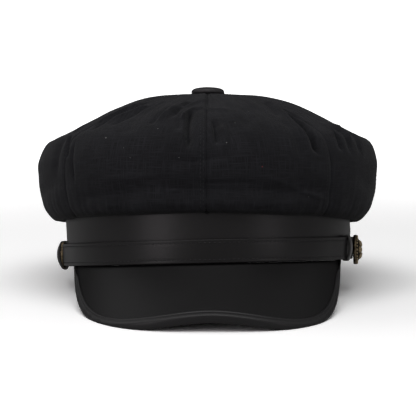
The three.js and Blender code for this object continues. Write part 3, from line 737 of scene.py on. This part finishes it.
def closed_skin(columns, rows, place):
    """A placed grid whose rows go round a closed section; its open ends are filled."""
    mesh = placed_grid(columns, rows, place)
    bmesh.ops.remove_doubles(mesh, verts=mesh.verts, dist=0.002 * MM)
    bmesh.ops.holes_fill(mesh, edges=[edge for edge in mesh.edges if edge.is_boundary], sides=0)
    bmesh.ops.recalc_face_normals(mesh, faces=mesh.faces)
    return mesh


def press_on_floor(mesh):
    for vertex in mesh.verts:
        vertex.co.z = max(vertex.co.z, 0)


band_section = rounded_box((-BAND_THICKNESS, 0), (0, BAND_HEIGHT), BAND_EDGE, 2.2)


def place_band(across, around):
    azimuth = 2 * math.pi * across
    out, up = pick(band_section, around).T
    foot = band_foot(azimuth)
    height = foot + up / BAND_HEIGHT * (BAND_HEIGHT - foot)
    spots = np.stack([WAVE_RING * np.sin(azimuth), WAVE_RING * np.cos(azimuth), height / 2], 1)
    wave = BAND_WAVE * noise_at(spots, WAVE_SIZE)
    return off_band(azimuth, height, out + wave), np.stack([azimuth * BAND_RADIUS, height], 1)


band_leather = leather("band leather", (0.0084, 0.0075, 0.008, 1), 0.42, specular=0.31)
band = closed_skin(BAND_COLUMNS, len(band_section) - 1, place_band)
press_on_floor(band)
finished("leather_band", band, band_leather, ["band"])

# Peak
# A stiff peak of leather over a board, that falls forward from under the band's foot and arches from side
# to side as the band does. Its two corners rest on the floor. It is pared down where its binding goes on.
PEAK_HALF_SPAN, PEAK_REACH, PEAK_SLOPE, PEAK_TWIST = 78.6, 129.4, 41, 0.1
PEAK_LEFT = {"span": 79, "squareness": 2.8, "narrowing": 0.1}  # the outline's two halves
PEAK_RIGHT = {"span": 78.4, "squareness": 3.1, "narrowing": 0.09}
PEAK_THICKNESS, PEAK_SKIVED, PEAK_TUCK, PEAK_ROOT_SHARE, HORN_SHARE = 1.8, 1.2, 1.2, 0.99, 0.999
PEAK_COLUMNS, CORNER_CROWDING = 150, 0.3
BINDING_WIDTH = 5
SKIVED_TO, SKIVE_RAMP = BINDING_WIDTH + 0.3, 0.6
HORN_RISE, HORN_FROM, HORN_FADES = 1.1, (0.95, 0.995), (3, 6)  # both ends are drawn up to the strap
ROOT_RISE, ROOT_FADES = GAP - 0.03, (1.4, 4)  # it is drawn up against the band's foot where it is sewn on
BINDING_DEPTH, SKIVED_DEPTH, FULL_DEPTH = 0.65, 0.8, 0.9  # how far towards the root they may go at the horns


def band_front(x):
    return BAND_HALF_LENGTH * np.sqrt(1 - (x / BAND_HALF_WIDTH) ** 2)


def peak_surface(plan):
    """Points of the peak's top over points of its plan, which are the distances to the right and forward."""
    x, forward = plan.T
    slope = np.radians(PEAK_SLOPE + PEAK_TWIST * x / PEAK_HALF_SPAN)
    root = band_front(x)
    foot = band_foot(np.arctan2(x, root))
    return np.stack([x, -forward, foot - GAP - np.tan(slope) * np.maximum(forward - root, 0)], 1)


def peak_facing(plan):
    side, ahead = np.array([0.2, 0]), np.array([0, 0.2])
    across = peak_surface(plan + side) - peak_surface(plan - side)
    along = peak_surface(plan + ahead) - peak_surface(plan - ahead)
    return unit(np.cross(along, across))


def peak_edge(share):
    angle = share * math.pi / 2
    span, squareness, narrowing = (
        np.where(share < 0, PEAK_LEFT[key], PEAK_RIGHT[key]) for key in ("span", "squareness", "narrowing")
    )
    ahead = np.maximum(np.cos(angle), 0) ** (2 / squareness)
    horn = band_front(PEAK_HALF_SPAN)
    x = np.sign(share) * span * np.abs(np.sin(angle)) ** (2 / squareness) * (1 - narrowing * ahead)
    return np.stack([x, horn + (PEAK_REACH - horn) * ahead], 1)


def horn_rise(share, distance):
    return HORN_RISE * smoothstep(np.abs(share), *HORN_FROM) * (1 - smoothstep(distance, *HORN_FADES))


def peak_root(share):
    x = np.sin(share * math.pi / 2) * PEAK_HALF_SPAN * PEAK_ROOT_SHARE
    return np.stack([x, band_front(x) - PEAK_TUCK], 1)


def in_from_edge(share, distance, most):
    """The plan of points at a distance in from the peak's edge, but no further than a share of the way."""
    edge, root = peak_edge(share), peak_root(share)
    line, step = unit(root - edge), 0.002
    along = unit(peak_surface(peak_edge(share + step)) - peak_surface(peak_edge(share - step)))
    inward = peak_surface(edge + line) - peak_surface(edge)
    steepness = np.linalg.norm(np.cross(inward, along), axis=1)
    furthest = most * np.linalg.norm(root - edge, axis=1)
    return edge + line * np.minimum(distance / steepness, furthest)[:, None]


PLATE_ROWS = 26
peak_section = (
    # share of the way from the root to the pared edge, distance in from the edge, depth under the top
    [(k / PLATE_ROWS, 0, 0) for k in range(PLATE_ROWS + 1)]
    + [(2, SKIVED_TO, 0), (2, 2.4, 0), (2, 0, 0), (2, 0, PEAK_SKIVED), (2, 2.4, PEAK_SKIVED)]
    + [(2, SKIVED_TO, PEAK_SKIVED)]
    + [(k / PLATE_ROWS, 0, PEAK_THICKNESS) for k in range(PLATE_ROWS, -1, -2)]
    + [(0, 0, 0)]
)
peak_section = np.array(peak_section, float)


def peak_columns(across):
    """Shares from -1 to 1 that lie closer where the outline turns its corners."""
    return 2 * (across - CORNER_CROWDING * np.sin(4 * math.pi * across) / (4 * math.pi)) - 1


def place_peak(across, around):
    share = peak_columns(across) * HORN_SHARE
    way, distance, depth = pick(peak_section, around).T
    root, full = peak_root(share), in_from_edge(share, SKIVED_TO + SKIVE_RAMP, FULL_DEPTH)
    plate = root + (full - root) * way[:, None]
    plan = np.where((way > 1)[:, None], in_from_edge(share, distance, SKIVED_DEPTH), plate)
    points = peak_surface(plan) - peak_facing(plan) * depth[:, None]
    points[:, 2] += horn_rise(share, distance)
    from_root = np.linalg.norm(plan - root, axis=1)
    points[:, 2] += ROOT_RISE * (1 - smoothstep(from_root, *ROOT_FADES))
    return points, plan


peak_leather = leather("peak leather", (0.0052, 0.0049, 0.0052, 1), 0.5, specular=0.15)
peak = closed_skin(PEAK_COLUMNS, len(peak_section) - 1, place_peak)
press_on_floor(peak)
finished("leather_peak", peak, peak_leather, ["peak"])

# Binding of the peak
# A narrow strip of thinner leather that is folded around the peak's edge and stitched through it. It
# puckers where it turns the two corners.
BINDING_THICKNESS, BINDING_SHARE, BINDING_COLUMNS = 0.8, 0.9995, 300
BINDING_TOP, BINDING_BOTTOM = GAP + BINDING_THICKNESS, -PEAK_SKIVED - GAP - BINDING_THICKNESS
EDGE_HALF_LENGTH = 130  # about the way along the edge from its middle to one end
FOLD_CENTRE = 0.6  # how far in from the edge the fold's round begins
FOLD_HEIGHT = -PEAK_SKIVED / 2
STITCH_LINE = 2.9
PUCKER_HEIGHT, CORNER_SHARE, CORNER_SPREAD = 0.4, 0.68, 0.17  # it puckers most at the corners
FRONT_HANG = 2.1  # how much further the fold hangs down in the middle of the front
HANG_FADES, FRONT_FADES = (1.2, 4.6), (0.12, 0.62)  # in from the edge, and towards the corners


def fold_round(radius):
    turns = [math.radians(90 + 180 * k / 10) for k in range(11)]
    return [[FOLD_CENTRE + radius * math.cos(turn), FOLD_HEIGHT + radius * math.sin(turn)] for turn in turns]


def binding_outline():
    """Distance in from the edge and height over the peak's top, round the folded strip's wall."""
    outer, inner = BINDING_TOP - FOLD_HEIGHT, GAP - FOLD_HEIGHT
    width, line = BINDING_WIDTH, STITCH_LINE
    top = [[width, 0.05], [width, 0.22], [width - 0.3, 0.52], [width - 0.9, 0.85]]
    flap = [[line + 0.7, 0.95], [line + 0.35, 0.84], [line, 0.72], [line - 0.4, 0.85]]
    flap += [[line - 0.9, BINDING_TOP]]
    under = [[width - 0.2, BINDING_BOTTOM], [width, BINDING_BOTTOM + 0.2]]
    back = [[width, BINDING_BOTTOM + BINDING_THICKNESS]]
    return top + flap + fold_round(outer) + under + back + fold_round(inner)[::-1]


binding_section = densified(binding_outline(), 1.2)


def place_binding(across, around):
    share = peak_columns(across) * BINDING_SHARE
    distance, height = pick(binding_section, around).T
    plan = in_from_edge(share, distance, BINDING_DEPTH)
    corner = 0.05 + ridge(np.abs(share) - CORNER_SHARE, CORNER_SPREAD, 2)
    spots = np.stack([share * 60, distance * 0.35, 0 * share], 1)
    pucker = PUCKER_HEIGHT * corner * (noise_at(spots, 1) + 0.5 * noise_at(spots, 0.45))
    outer = (height > BINDING_TOP - 0.9) | (distance < 0)
    lift = height + np.where(outer, pucker * smoothstep(distance, 5, 2), 0)
    points = peak_surface(plan) + peak_facing(plan) * lift[:, None]
    points[:, 2] += horn_rise(share, distance)
    lower = 1 - smoothstep(height, BINDING_BOTTOM + 0.9, BINDING_TOP - 0.2)
    hang = lower * (1 - smoothstep(distance, *HANG_FADES)) * (1 - smoothstep(np.abs(share), *FRONT_FADES))
    points[:, 2] -= FRONT_HANG * hang
    azimuth = np.arctan2(points[:, 0], -points[:, 1])
    under_band = points[:, 2] < band_foot(azimuth) - GAP
    limit = band_reach(azimuth, np.maximum(points[:, 2], 0)) + GAP
    reach = np.hypot(points[:, 0], points[:, 1])
    points[:, :2] *= np.where(under_band, 1, np.maximum(limit / reach, 1))[:, None]
    return points, np.stack([share * EDGE_HALF_LENGTH, distance], 1)


binding_leather = leather(
    "binding leather", (0.0092, 0.0086, 0.0092, 1), 0.46, pebble=0.7 * MM, specular=0.28, edge_loss=0.4
)
binding = closed_skin(BINDING_COLUMNS, len(binding_section) - 1, place_binding)
press_on_floor(binding)
finished("leather_binding", binding, binding_leather, ["peak_binding"])

# Chin strap
# A strap of leather with rounded ends that lies on the band above the peak, from one side button to the
# other, which fix it. It stands off the band near each button, where a keeper goes behind it.
STRAP_WIDTH, STRAP_THICKNESS, STRAP_FOOT, STRAP_PAST_BUTTON = 13.4, 1.5, 0.3, 7.2
KEEPER_WIDTH, KEEPER_THICKNESS, KEEPER_FROM_BUTTON = 4.4, 0.9, 21.5
KEEPER_ROOM = KEEPER_THICKNESS + 2 * GAP
LEFT_BUTTON, RIGHT_BUTTON = math.radians(-101), math.radians(83)
STRAP_SETTLES = math.radians(14)
STRAP_STITCH_LINE = 1.9  # distance of each line of stitches from the strap's edge
STRAP_DOME = 0.12  # how much the strap swells between its stitches
STITCH_GROOVE, GROOVE_SPREAD = 0.1, 0.45  # how the stitches draw it in
STRAP_COLUMNS, STRAP_RADIUS = 180, 92  # it lies about so far from the middle of the head


def along_band(azimuth, distance):
    return azimuth + distance / band_reach(azimuth, STRAP_WIDTH / 2)


def strap_middle(azimuth):
    return band_foot(azimuth) + STRAP_FOOT + STRAP_WIDTH / 2


def strap_standoff(azimuth):
    left = along_band(LEFT_BUTTON, KEEPER_FROM_BUTTON + KEEPER_WIDTH)
    right = along_band(RIGHT_BUTTON, -KEEPER_FROM_BUTTON - KEEPER_WIDTH)
    near_left = smoothstep(-azimuth, -left - STRAP_SETTLES, -left)
    near_right = smoothstep(azimuth, right - STRAP_SETTLES, right)
    settling, settled = along_band(RIGHT_BUTTON, 3 - KEEPER_FROM_BUTTON), along_band(RIGHT_BUTTON, -9)
    past_right = smoothstep(azimuth, settling, settled)
    return GAP + (KEEPER_ROOM - GAP) * np.maximum(near_left, near_right - 0.5 * past_right)


strap_start = along_band(LEFT_BUTTON, -STRAP_PAST_BUTTON)
strap_end = along_band(RIGHT_BUTTON, STRAP_PAST_BUTTON)
end_turn = along_band(0, STRAP_WIDTH / 2)
round_end = 1 - np.cos(np.radians([6, 14, 24, 36, 50, 66, 82]))
strap_turns = np.concatenate(
    [
        strap_start + end_turn * round_end,
        np.linspace(strap_start + end_turn, strap_end - end_turn, STRAP_COLUMNS),
        (strap_end - end_turn * round_end)[::-1],
    ]
)


def strap_outline():
    """Distance off the strap's back and across its width, in millimetres, round its wall."""
    half, edge = STRAP_WIDTH / 2, 0.4
    corner = [
        [STRAP_THICKNESS - edge + edge * math.sin(turn), edge * math.cos(turn) - edge]
        for turn in np.radians([0, 25, 50, 75, 90])
    ]
    upper = [[out, half + across] for out, across in corner]
    face = [[STRAP_THICKNESS, across] for across in (5.6, 5.15, 4.8, 4.45, 4, 3, 1.5, 0)]
    front = upper + face + [[out, -across] for out, across in reversed(face[:-1])]
    front += [[out, -across] for out, across in reversed(upper)]
    back = [[0, across] for across in (-6.6, -3, 0, 3, 6.6)]
    return front + back


strap_section = densified(strap_outline(), 3)


def place_strap(across, around):
    azimuth = pick(strap_turns, across)
    out, over = pick(strap_section, around).T
    to_end = np.minimum(np.minimum(azimuth - strap_start, strap_end - azimuth), end_turn) / end_turn
    share = np.sqrt(1 - (1 - to_end) ** 2)
    half = STRAP_WIDTH / 2
    from_stitches = np.abs(np.abs(over) - (half - STRAP_STITCH_LINE))
    dome = STRAP_DOME * (1 - (over / half) ** 2) - STITCH_GROOVE * ridge(from_stitches, GROOVE_SPREAD, 2)
    lift = np.where(out > STRAP_THICKNESS - 0.01, dome * share, 0)
    points = off_band(azimuth, strap_middle(azimuth) + over * share, strap_standoff(azimuth) + out + lift)
    return points, np.stack([azimuth * STRAP_RADIUS, over], 1)


strap_leather = leather("strap leather", (0.0068, 0.0062, 0.0065, 1), 0.4, pebble=0.7 * MM, specular=0.28)
strap = closed_skin(len(strap_turns) - 1, len(strap_section) - 1, place_strap)
finished("leather_strap", strap, strap_leather, ["chin_strap"])

# Stitches of the strap
# Black waxed thread, sewn in a line along each edge of the strap after it was cut. Each stitch is drawn
# down into the leather at both of its ends.
STITCH_PITCH, STITCH_LENGTH = 2.6, 2.0
STITCHED_RADIUS = 93  # about how far the stitches lie from the middle of the head
STRAP_THREAD_RADIUS, STRAP_THREAD_SINK, THREAD_STANDOFF = 0.32, 0.08, 0.05
waxed_thread = leather("waxed thread", (0.011, 0.0105, 0.0115, 1), 0.5, pebble=0.25 * MM, grain=0.5)
first_stitch, last_stitch = strap_start + 1.25 * end_turn, strap_end - 1.25 * end_turn
stitch_count = 1 + int((last_stitch - first_stitch) * STITCHED_RADIUS / STITCH_PITCH)
stitch_turns = np.linspace(first_stitch, last_stitch, stitch_count)
half_stitch = STITCH_LENGTH / 2 / STITCHED_RADIUS
for name, side in (("upper", 1), ("lower", -1)):
    ends = []
    for azimuth in (stitch_turns - half_stitch, stitch_turns + half_stitch):
        height = strap_middle(azimuth) + side * (STRAP_WIDTH / 2 - STRAP_STITCH_LINE)
        ends.append(off_band(azimuth, height, strap_standoff(azimuth) + STRAP_THICKNESS + THREAD_STANDOFF))
    row = stitches(*ends, band_facing(stitch_turns), STRAP_THREAD_RADIUS, STRAP_THREAD_SINK)
    finished(f"strap_stitches_{name}", row, waxed_thread)

# Keepers
# Two loops of thin leather around the strap, one inside each button. Each is a narrow strip that goes
# behind the strap, between it and the band, and bows out in front of it.
# Painted highlight: the keepers' leather is paler and shinier than the cap's other black leathers, for the
# light they catch from the left.
keeper_leather_painted_light = leather(
    "keeper leather", (0.03, 0.0285, 0.028, 1), 0.36, pebble=0.7 * MM, specular=0.5, edge_loss=0
)


def keeper_path(height, bow):
    """Middle line of the loop: distance off the band and height, and how thick its wall is there."""
    half, inner = height / 2 - KEEPER_THICKNESS / 2, GAP + KEEPER_THICKNESS / 2
    front = KEEPER_ROOM + STRAP_THICKNESS + KEEPER_THICKNESS / 2 + 0.05
    path = [[inner, half * (k / 6), KEEPER_THICKNESS] for k in range(-5, 6)]
    turn = [(0.06, 0.975), (0.35, 1), (0.7, 1)]
    path += [[inner + (front - inner) * share, half * up, KEEPER_THICKNESS] for share, up in turn]
    for k in range(25):
        up = half * (0.985 - 1.97 * k / 24)
        swell = 1 - (up / half) ** 2
        padding = 0.45 * bow * swell
        out = front + bow * swell - padding / 2 - 0.12 * (abs(up) > 0.97 * half)
        path.append([out, up, KEEPER_THICKNESS + padding])
    path += [[inner + (front - inner) * share, -half * up, KEEPER_THICKNESS] for share, up in reversed(turn)]
    return np.array(path + path[:1])


keeper_section = rounded_box((-0.5, -KEEPER_WIDTH / 2), (0.5, KEEPER_WIDTH / 2), 0.35, 1)


def keeper_frame(azimuth):
    """Where a keeper sits on the band, and the directions out, along and up from there."""
    turn = np.array([azimuth])
    spot = off_band(turn, strap_middle(turn), 0)[0]
    up = unit(off_band(turn, BAND_HEIGHT, 0)[0] - off_band(turn, 0.0, 0)[0])
    along = unit(np.cross(band_facing(turn)[0], up))
    return spot, np.cross(up, along), along, up


def make_keeper(name, azimuth, height, bow):
    keeper_line = keeper_path(height, bow)
    spot, out, along, up = keeper_frame(azimuth)

    def place_keeper(across, around):
        line = pick(keeper_line, across)
        step = 1 / (len(keeper_line) - 1)
        later, sooner = pick(keeper_line, (across + step) % 1), pick(keeper_line, (across - step) % 1)
        run = unit((later - sooner)[:, :2])
        square = np.stack([run[:, 1], -run[:, 0]], 1)
        depth, over = pick(keeper_section, around).T
        middle = line[:, :2] + square * (depth * line[:, 2])[:, None]
        points = spot + middle[:, :1] * out + middle[:, 1:] * up + over[:, None] * along
        return points, np.stack([line[:, 1], over], 1)

    mesh = closed_skin(len(keeper_line) - 1, len(keeper_section) - 1, place_keeper)
    finished(f"leather_{name}", mesh, keeper_leather_painted_light, [name])


make_keeper("keeper_left", along_band(LEFT_BUTTON, KEEPER_FROM_BUTTON - 0.5), 17.4, 2.8)
make_keeper("keeper_right", along_band(RIGHT_BUTTON, -KEEPER_FROM_BUTTON - 3), 15.3, 1.6)

# Side buttons
# Cast brass buttons with a beaded rim and a rosette, darkened in their hollows, each fixed with its shank
# through an end of the strap.
BUTTON_RADIUS, BUTTON_FOOT, BUTTON_EDGE, BUTTON_DOME = 9.0, 0.1, 1.2, 3.2
DOME_FULLNESS, BUTTON_COLUMNS = 2.6, 96
PETALS, BEADS, BEAD_RADIUS, BEAD_RING = 6, 24, 0.78, 0.895
BUTTON_RINGS = [0, 0.05, 0.1, 0.14, 0.18, 0.21, 0.25, 0.3, 0.36, 0.42, 0.48, 0.54]
BUTTON_RINGS += [0.6, 0.66, 0.71, 0.75, 0.79, 0.83, 0.87, 0.91, 0.95, 0.98, 1]


def dome_height(out):
    return BUTTON_FOOT + BUTTON_EDGE + BUTTON_DOME * (1 - out**DOME_FULLNESS)


def button_relief(out, turn):
    """Height of the rosette and its rim over the plain dome."""
    boss = 1 - smoothstep(out, 0.1, 0.2)
    leaf = abs(math.cos(PETALS / 2 * turn)) ** 0.6
    tip = 0.5 + 0.24 * leaf
    vein = 1 - 0.6 * ridge(math.sin(PETALS / 2 * turn) * out, 0.03, 1.6)
    petal = 1.3 * leaf * within(out, 0.2, 0.32, tip - 0.1, tip) * vein
    rim = 0.4 * ridge(out - 0.8, 0.025, 2) + 0.5 * smoothstep(out, 0.95, 0.98)
    return boss + petal + rim


brass, tree, shader = new_material("antique brass")
body_place = add_node(tree, "TexCoord").outputs["Object"]
worn = add_node(tree, "Attribute", {"attribute_name": "relief"}).outputs["Fac"]
stain = add_node(tree, "TexNoise", Vector=body_place, Scale=420.0, Detail=4.0).outputs["Fac"]
bright = math_node(tree, "MULTIPLY_ADD", math_node(tree, "SUBTRACT", stain, 0.5), 0.9, worn, clamp=True)
metal = mixed(tree, bright, (0.007, 0.0055, 0.004, 1), (0.46, 0.36, 0.22, 1))
rough = math_node(tree, "MULTIPLY_ADD", bright, -0.3, 0.6)
feed(tree, shader, {"Base Color": metal, "Metallic": 1, "Roughness": rough})


def make_button(name, azimuth, drop):
    turn = np.array([azimuth])
    out = strap_standoff(turn) + STRAP_THICKNESS + 0.1
    spot = Vector(off_band(turn, strap_middle(turn) - drop, out)[0])
    to_cap = set_off(spot, Vector(band_facing(turn)[0]))
    profile = [(out * BUTTON_RADIUS, dome_height(out)) for out in BUTTON_RINGS]
    profile += [(BUTTON_RADIUS * 0.995, BUTTON_FOOT + 0.5), (BUTTON_RADIUS * 0.96, BUTTON_FOOT)]
    profile += [(BUTTON_RADIUS * 0.8, 0.04), (BUTTON_RADIUS * 0.5, 0), (0, 0)]
    mesh = spun(profile, BUTTON_COLUMNS)
    relief = mesh.verts.layers.float.new("relief")
    for vertex in mesh.verts:
        out = math.hypot(vertex.co.x, vertex.co.y) / BUTTON_RADIUS
        if vertex.co.z > BUTTON_FOOT + BUTTON_EDGE - 0.1:
            raised = float(button_relief(out, math.atan2(vertex.co.y, vertex.co.x)))
            vertex[relief] = min(1, 1.1 * raised - 0.15)
            vertex.co.z += raised * 0.95
        else:
            vertex[relief] = 0.05
    for number in range(BEADS):
        angle = 2 * math.pi * number / BEADS
        reach = BEAD_RING * BUTTON_RADIUS
        bead_at = Vector((reach * math.cos(angle), reach * math.sin(angle), dome_height(BEAD_RING) + 0.1))
        made = bmesh.ops.create_uvsphere(
            mesh, u_segments=12, v_segments=8, radius=BEAD_RADIUS, matrix=Matrix.Translation(bead_at)
        )
        for vertex in made["verts"]:
            vertex[relief] = 0.45 + 0.55 * (vertex.co.z - bead_at.z) / BEAD_RADIUS
    for vertex in mesh.verts:
        vertex.co = to_cap @ vertex.co
    in_place(mesh)
    finished(f"brass_{name}", mesh, brass, [name])


for side, button_turn, drop in (("left", LEFT_BUTTON, 0.3), ("right", RIGHT_BUTTON, 1.1)):
    make_button(f"side_button_{side}", button_turn, drop)

# Floor and light
# A pale floor that runs out of sight, a large soft box overhead, tall ones at the front left and right and
# wide ones above at the two sides, in a pale room.
FLOOR_RADIUS = 9.0
FLOOR_SEEN, FLOOR_BOUNCE = 1.27, 0.5  # how pale the camera sees it, overexposed, and how pale it is
GLOW_FROM, GLOW_FULL = 0.25, 0.9  # distances over which it goes over into white
floor_mesh = bmesh.new()
bmesh.ops.create_circle(floor_mesh, cap_ends=True, segments=96, radius=FLOOR_RADIUS)
floor_data = bpy.data.meshes.new("floor")
floor_mesh.to_mesh(floor_data)
floor_mesh.free()
floor = new_object("floor", floor_data)
floor_paint, tree, shader = new_material("pale floor")
place = add_node(tree, "TexCoord").outputs["Object"]
away = add_node(tree, "VectorMath", {"operation": "LENGTH"}, slot_0=place).outputs["Value"]
glow = mapped(tree, away, GLOW_FROM, GLOW_FULL)
seen = add_node(tree, "LightPath").outputs["Is Camera Ray"]
paint = mixed(tree, seen, (FLOOR_BOUNCE,) * 3 + (1,), (FLOOR_SEEN,) * 3 + (1,))
feed(tree, shader, {"Base Color": paint, "Roughness": 0.9, "Specular IOR Level": 0.1})
glow_seen = math_node(tree, "MULTIPLY", glow, seen)
feed(tree, shader, {"Emission Color": (1, 1, 1, 1), "Emission Strength": glow_seen})
floor_data.materials.append(floor_paint)

SOFT_BOXES = [
    # name, azimuth and elevation in degrees, distance, width, height, power, colour
    ("overhead", 0, 68, 1.5, 1.3, 1.0, 12.4, (1, 1, 1)),
    ("front left", -42, 12, 1.5, 0.42, 1.0, 4.6, (1, 0.93, 0.965)),
    ("front right", 54, 12, 1.6, 0.4, 1.0, 2.3, (1, 0.93, 0.965)),
    ("upper left", -113, 46, 1.6, 1.2, 1.0, 4.6, (1, 1, 1)),
    ("upper right", 113, 46, 1.6, 1.2, 1.0, 1.6, (1, 1, 1)),
]
for name, azimuth, elevation, distance, width, height, power, colour in SOFT_BOXES:
    box = bpy.data.lights.new(name, "AREA")
    box.shape = "RECTANGLE"
    box.size, box.size_y = width, height
    box.energy = power
    box.color = colour
    lamp = new_object(name, box)
    turn, rise = math.radians(azimuth), math.radians(elevation)
    towards = Vector((math.sin(turn) * math.cos(rise), -math.cos(turn) * math.cos(rise), math.sin(rise)))
    lamp.location = CAMERA_AIM + distance * towards
    lamp.rotation_euler = towards.to_track_quat("Z", "Y").to_euler()

ROOM_AHEAD, ROOM_BEHIND = 0.24, 0.07  # the room is darker behind the cap
room = bpy.data.worlds.new("pale room")
room.use_nodes = True
tree = room.node_tree
seen = add_node(tree, "LightPath").outputs["Is Camera Ray"]
direction = add_node(tree, "TexCoord").outputs["Generated"]
towards_back = add_node(tree, "SeparateXYZ", Vector=direction).outputs["Y"]
room_light = mapped(tree, towards_back, -0.2, 0.85, ROOM_AHEAD, ROOM_BEHIND, kind="LINEAR")
room_seen = math_node(tree, "MAXIMUM", room_light, seen)
feed(tree, tree.nodes["Background"], {"Color": (1, 1, 1, 1), "Strength": room_seen})
bpy.context.scene.world = room
bpy.context.scene.view_settings.view_transform = "Standard"
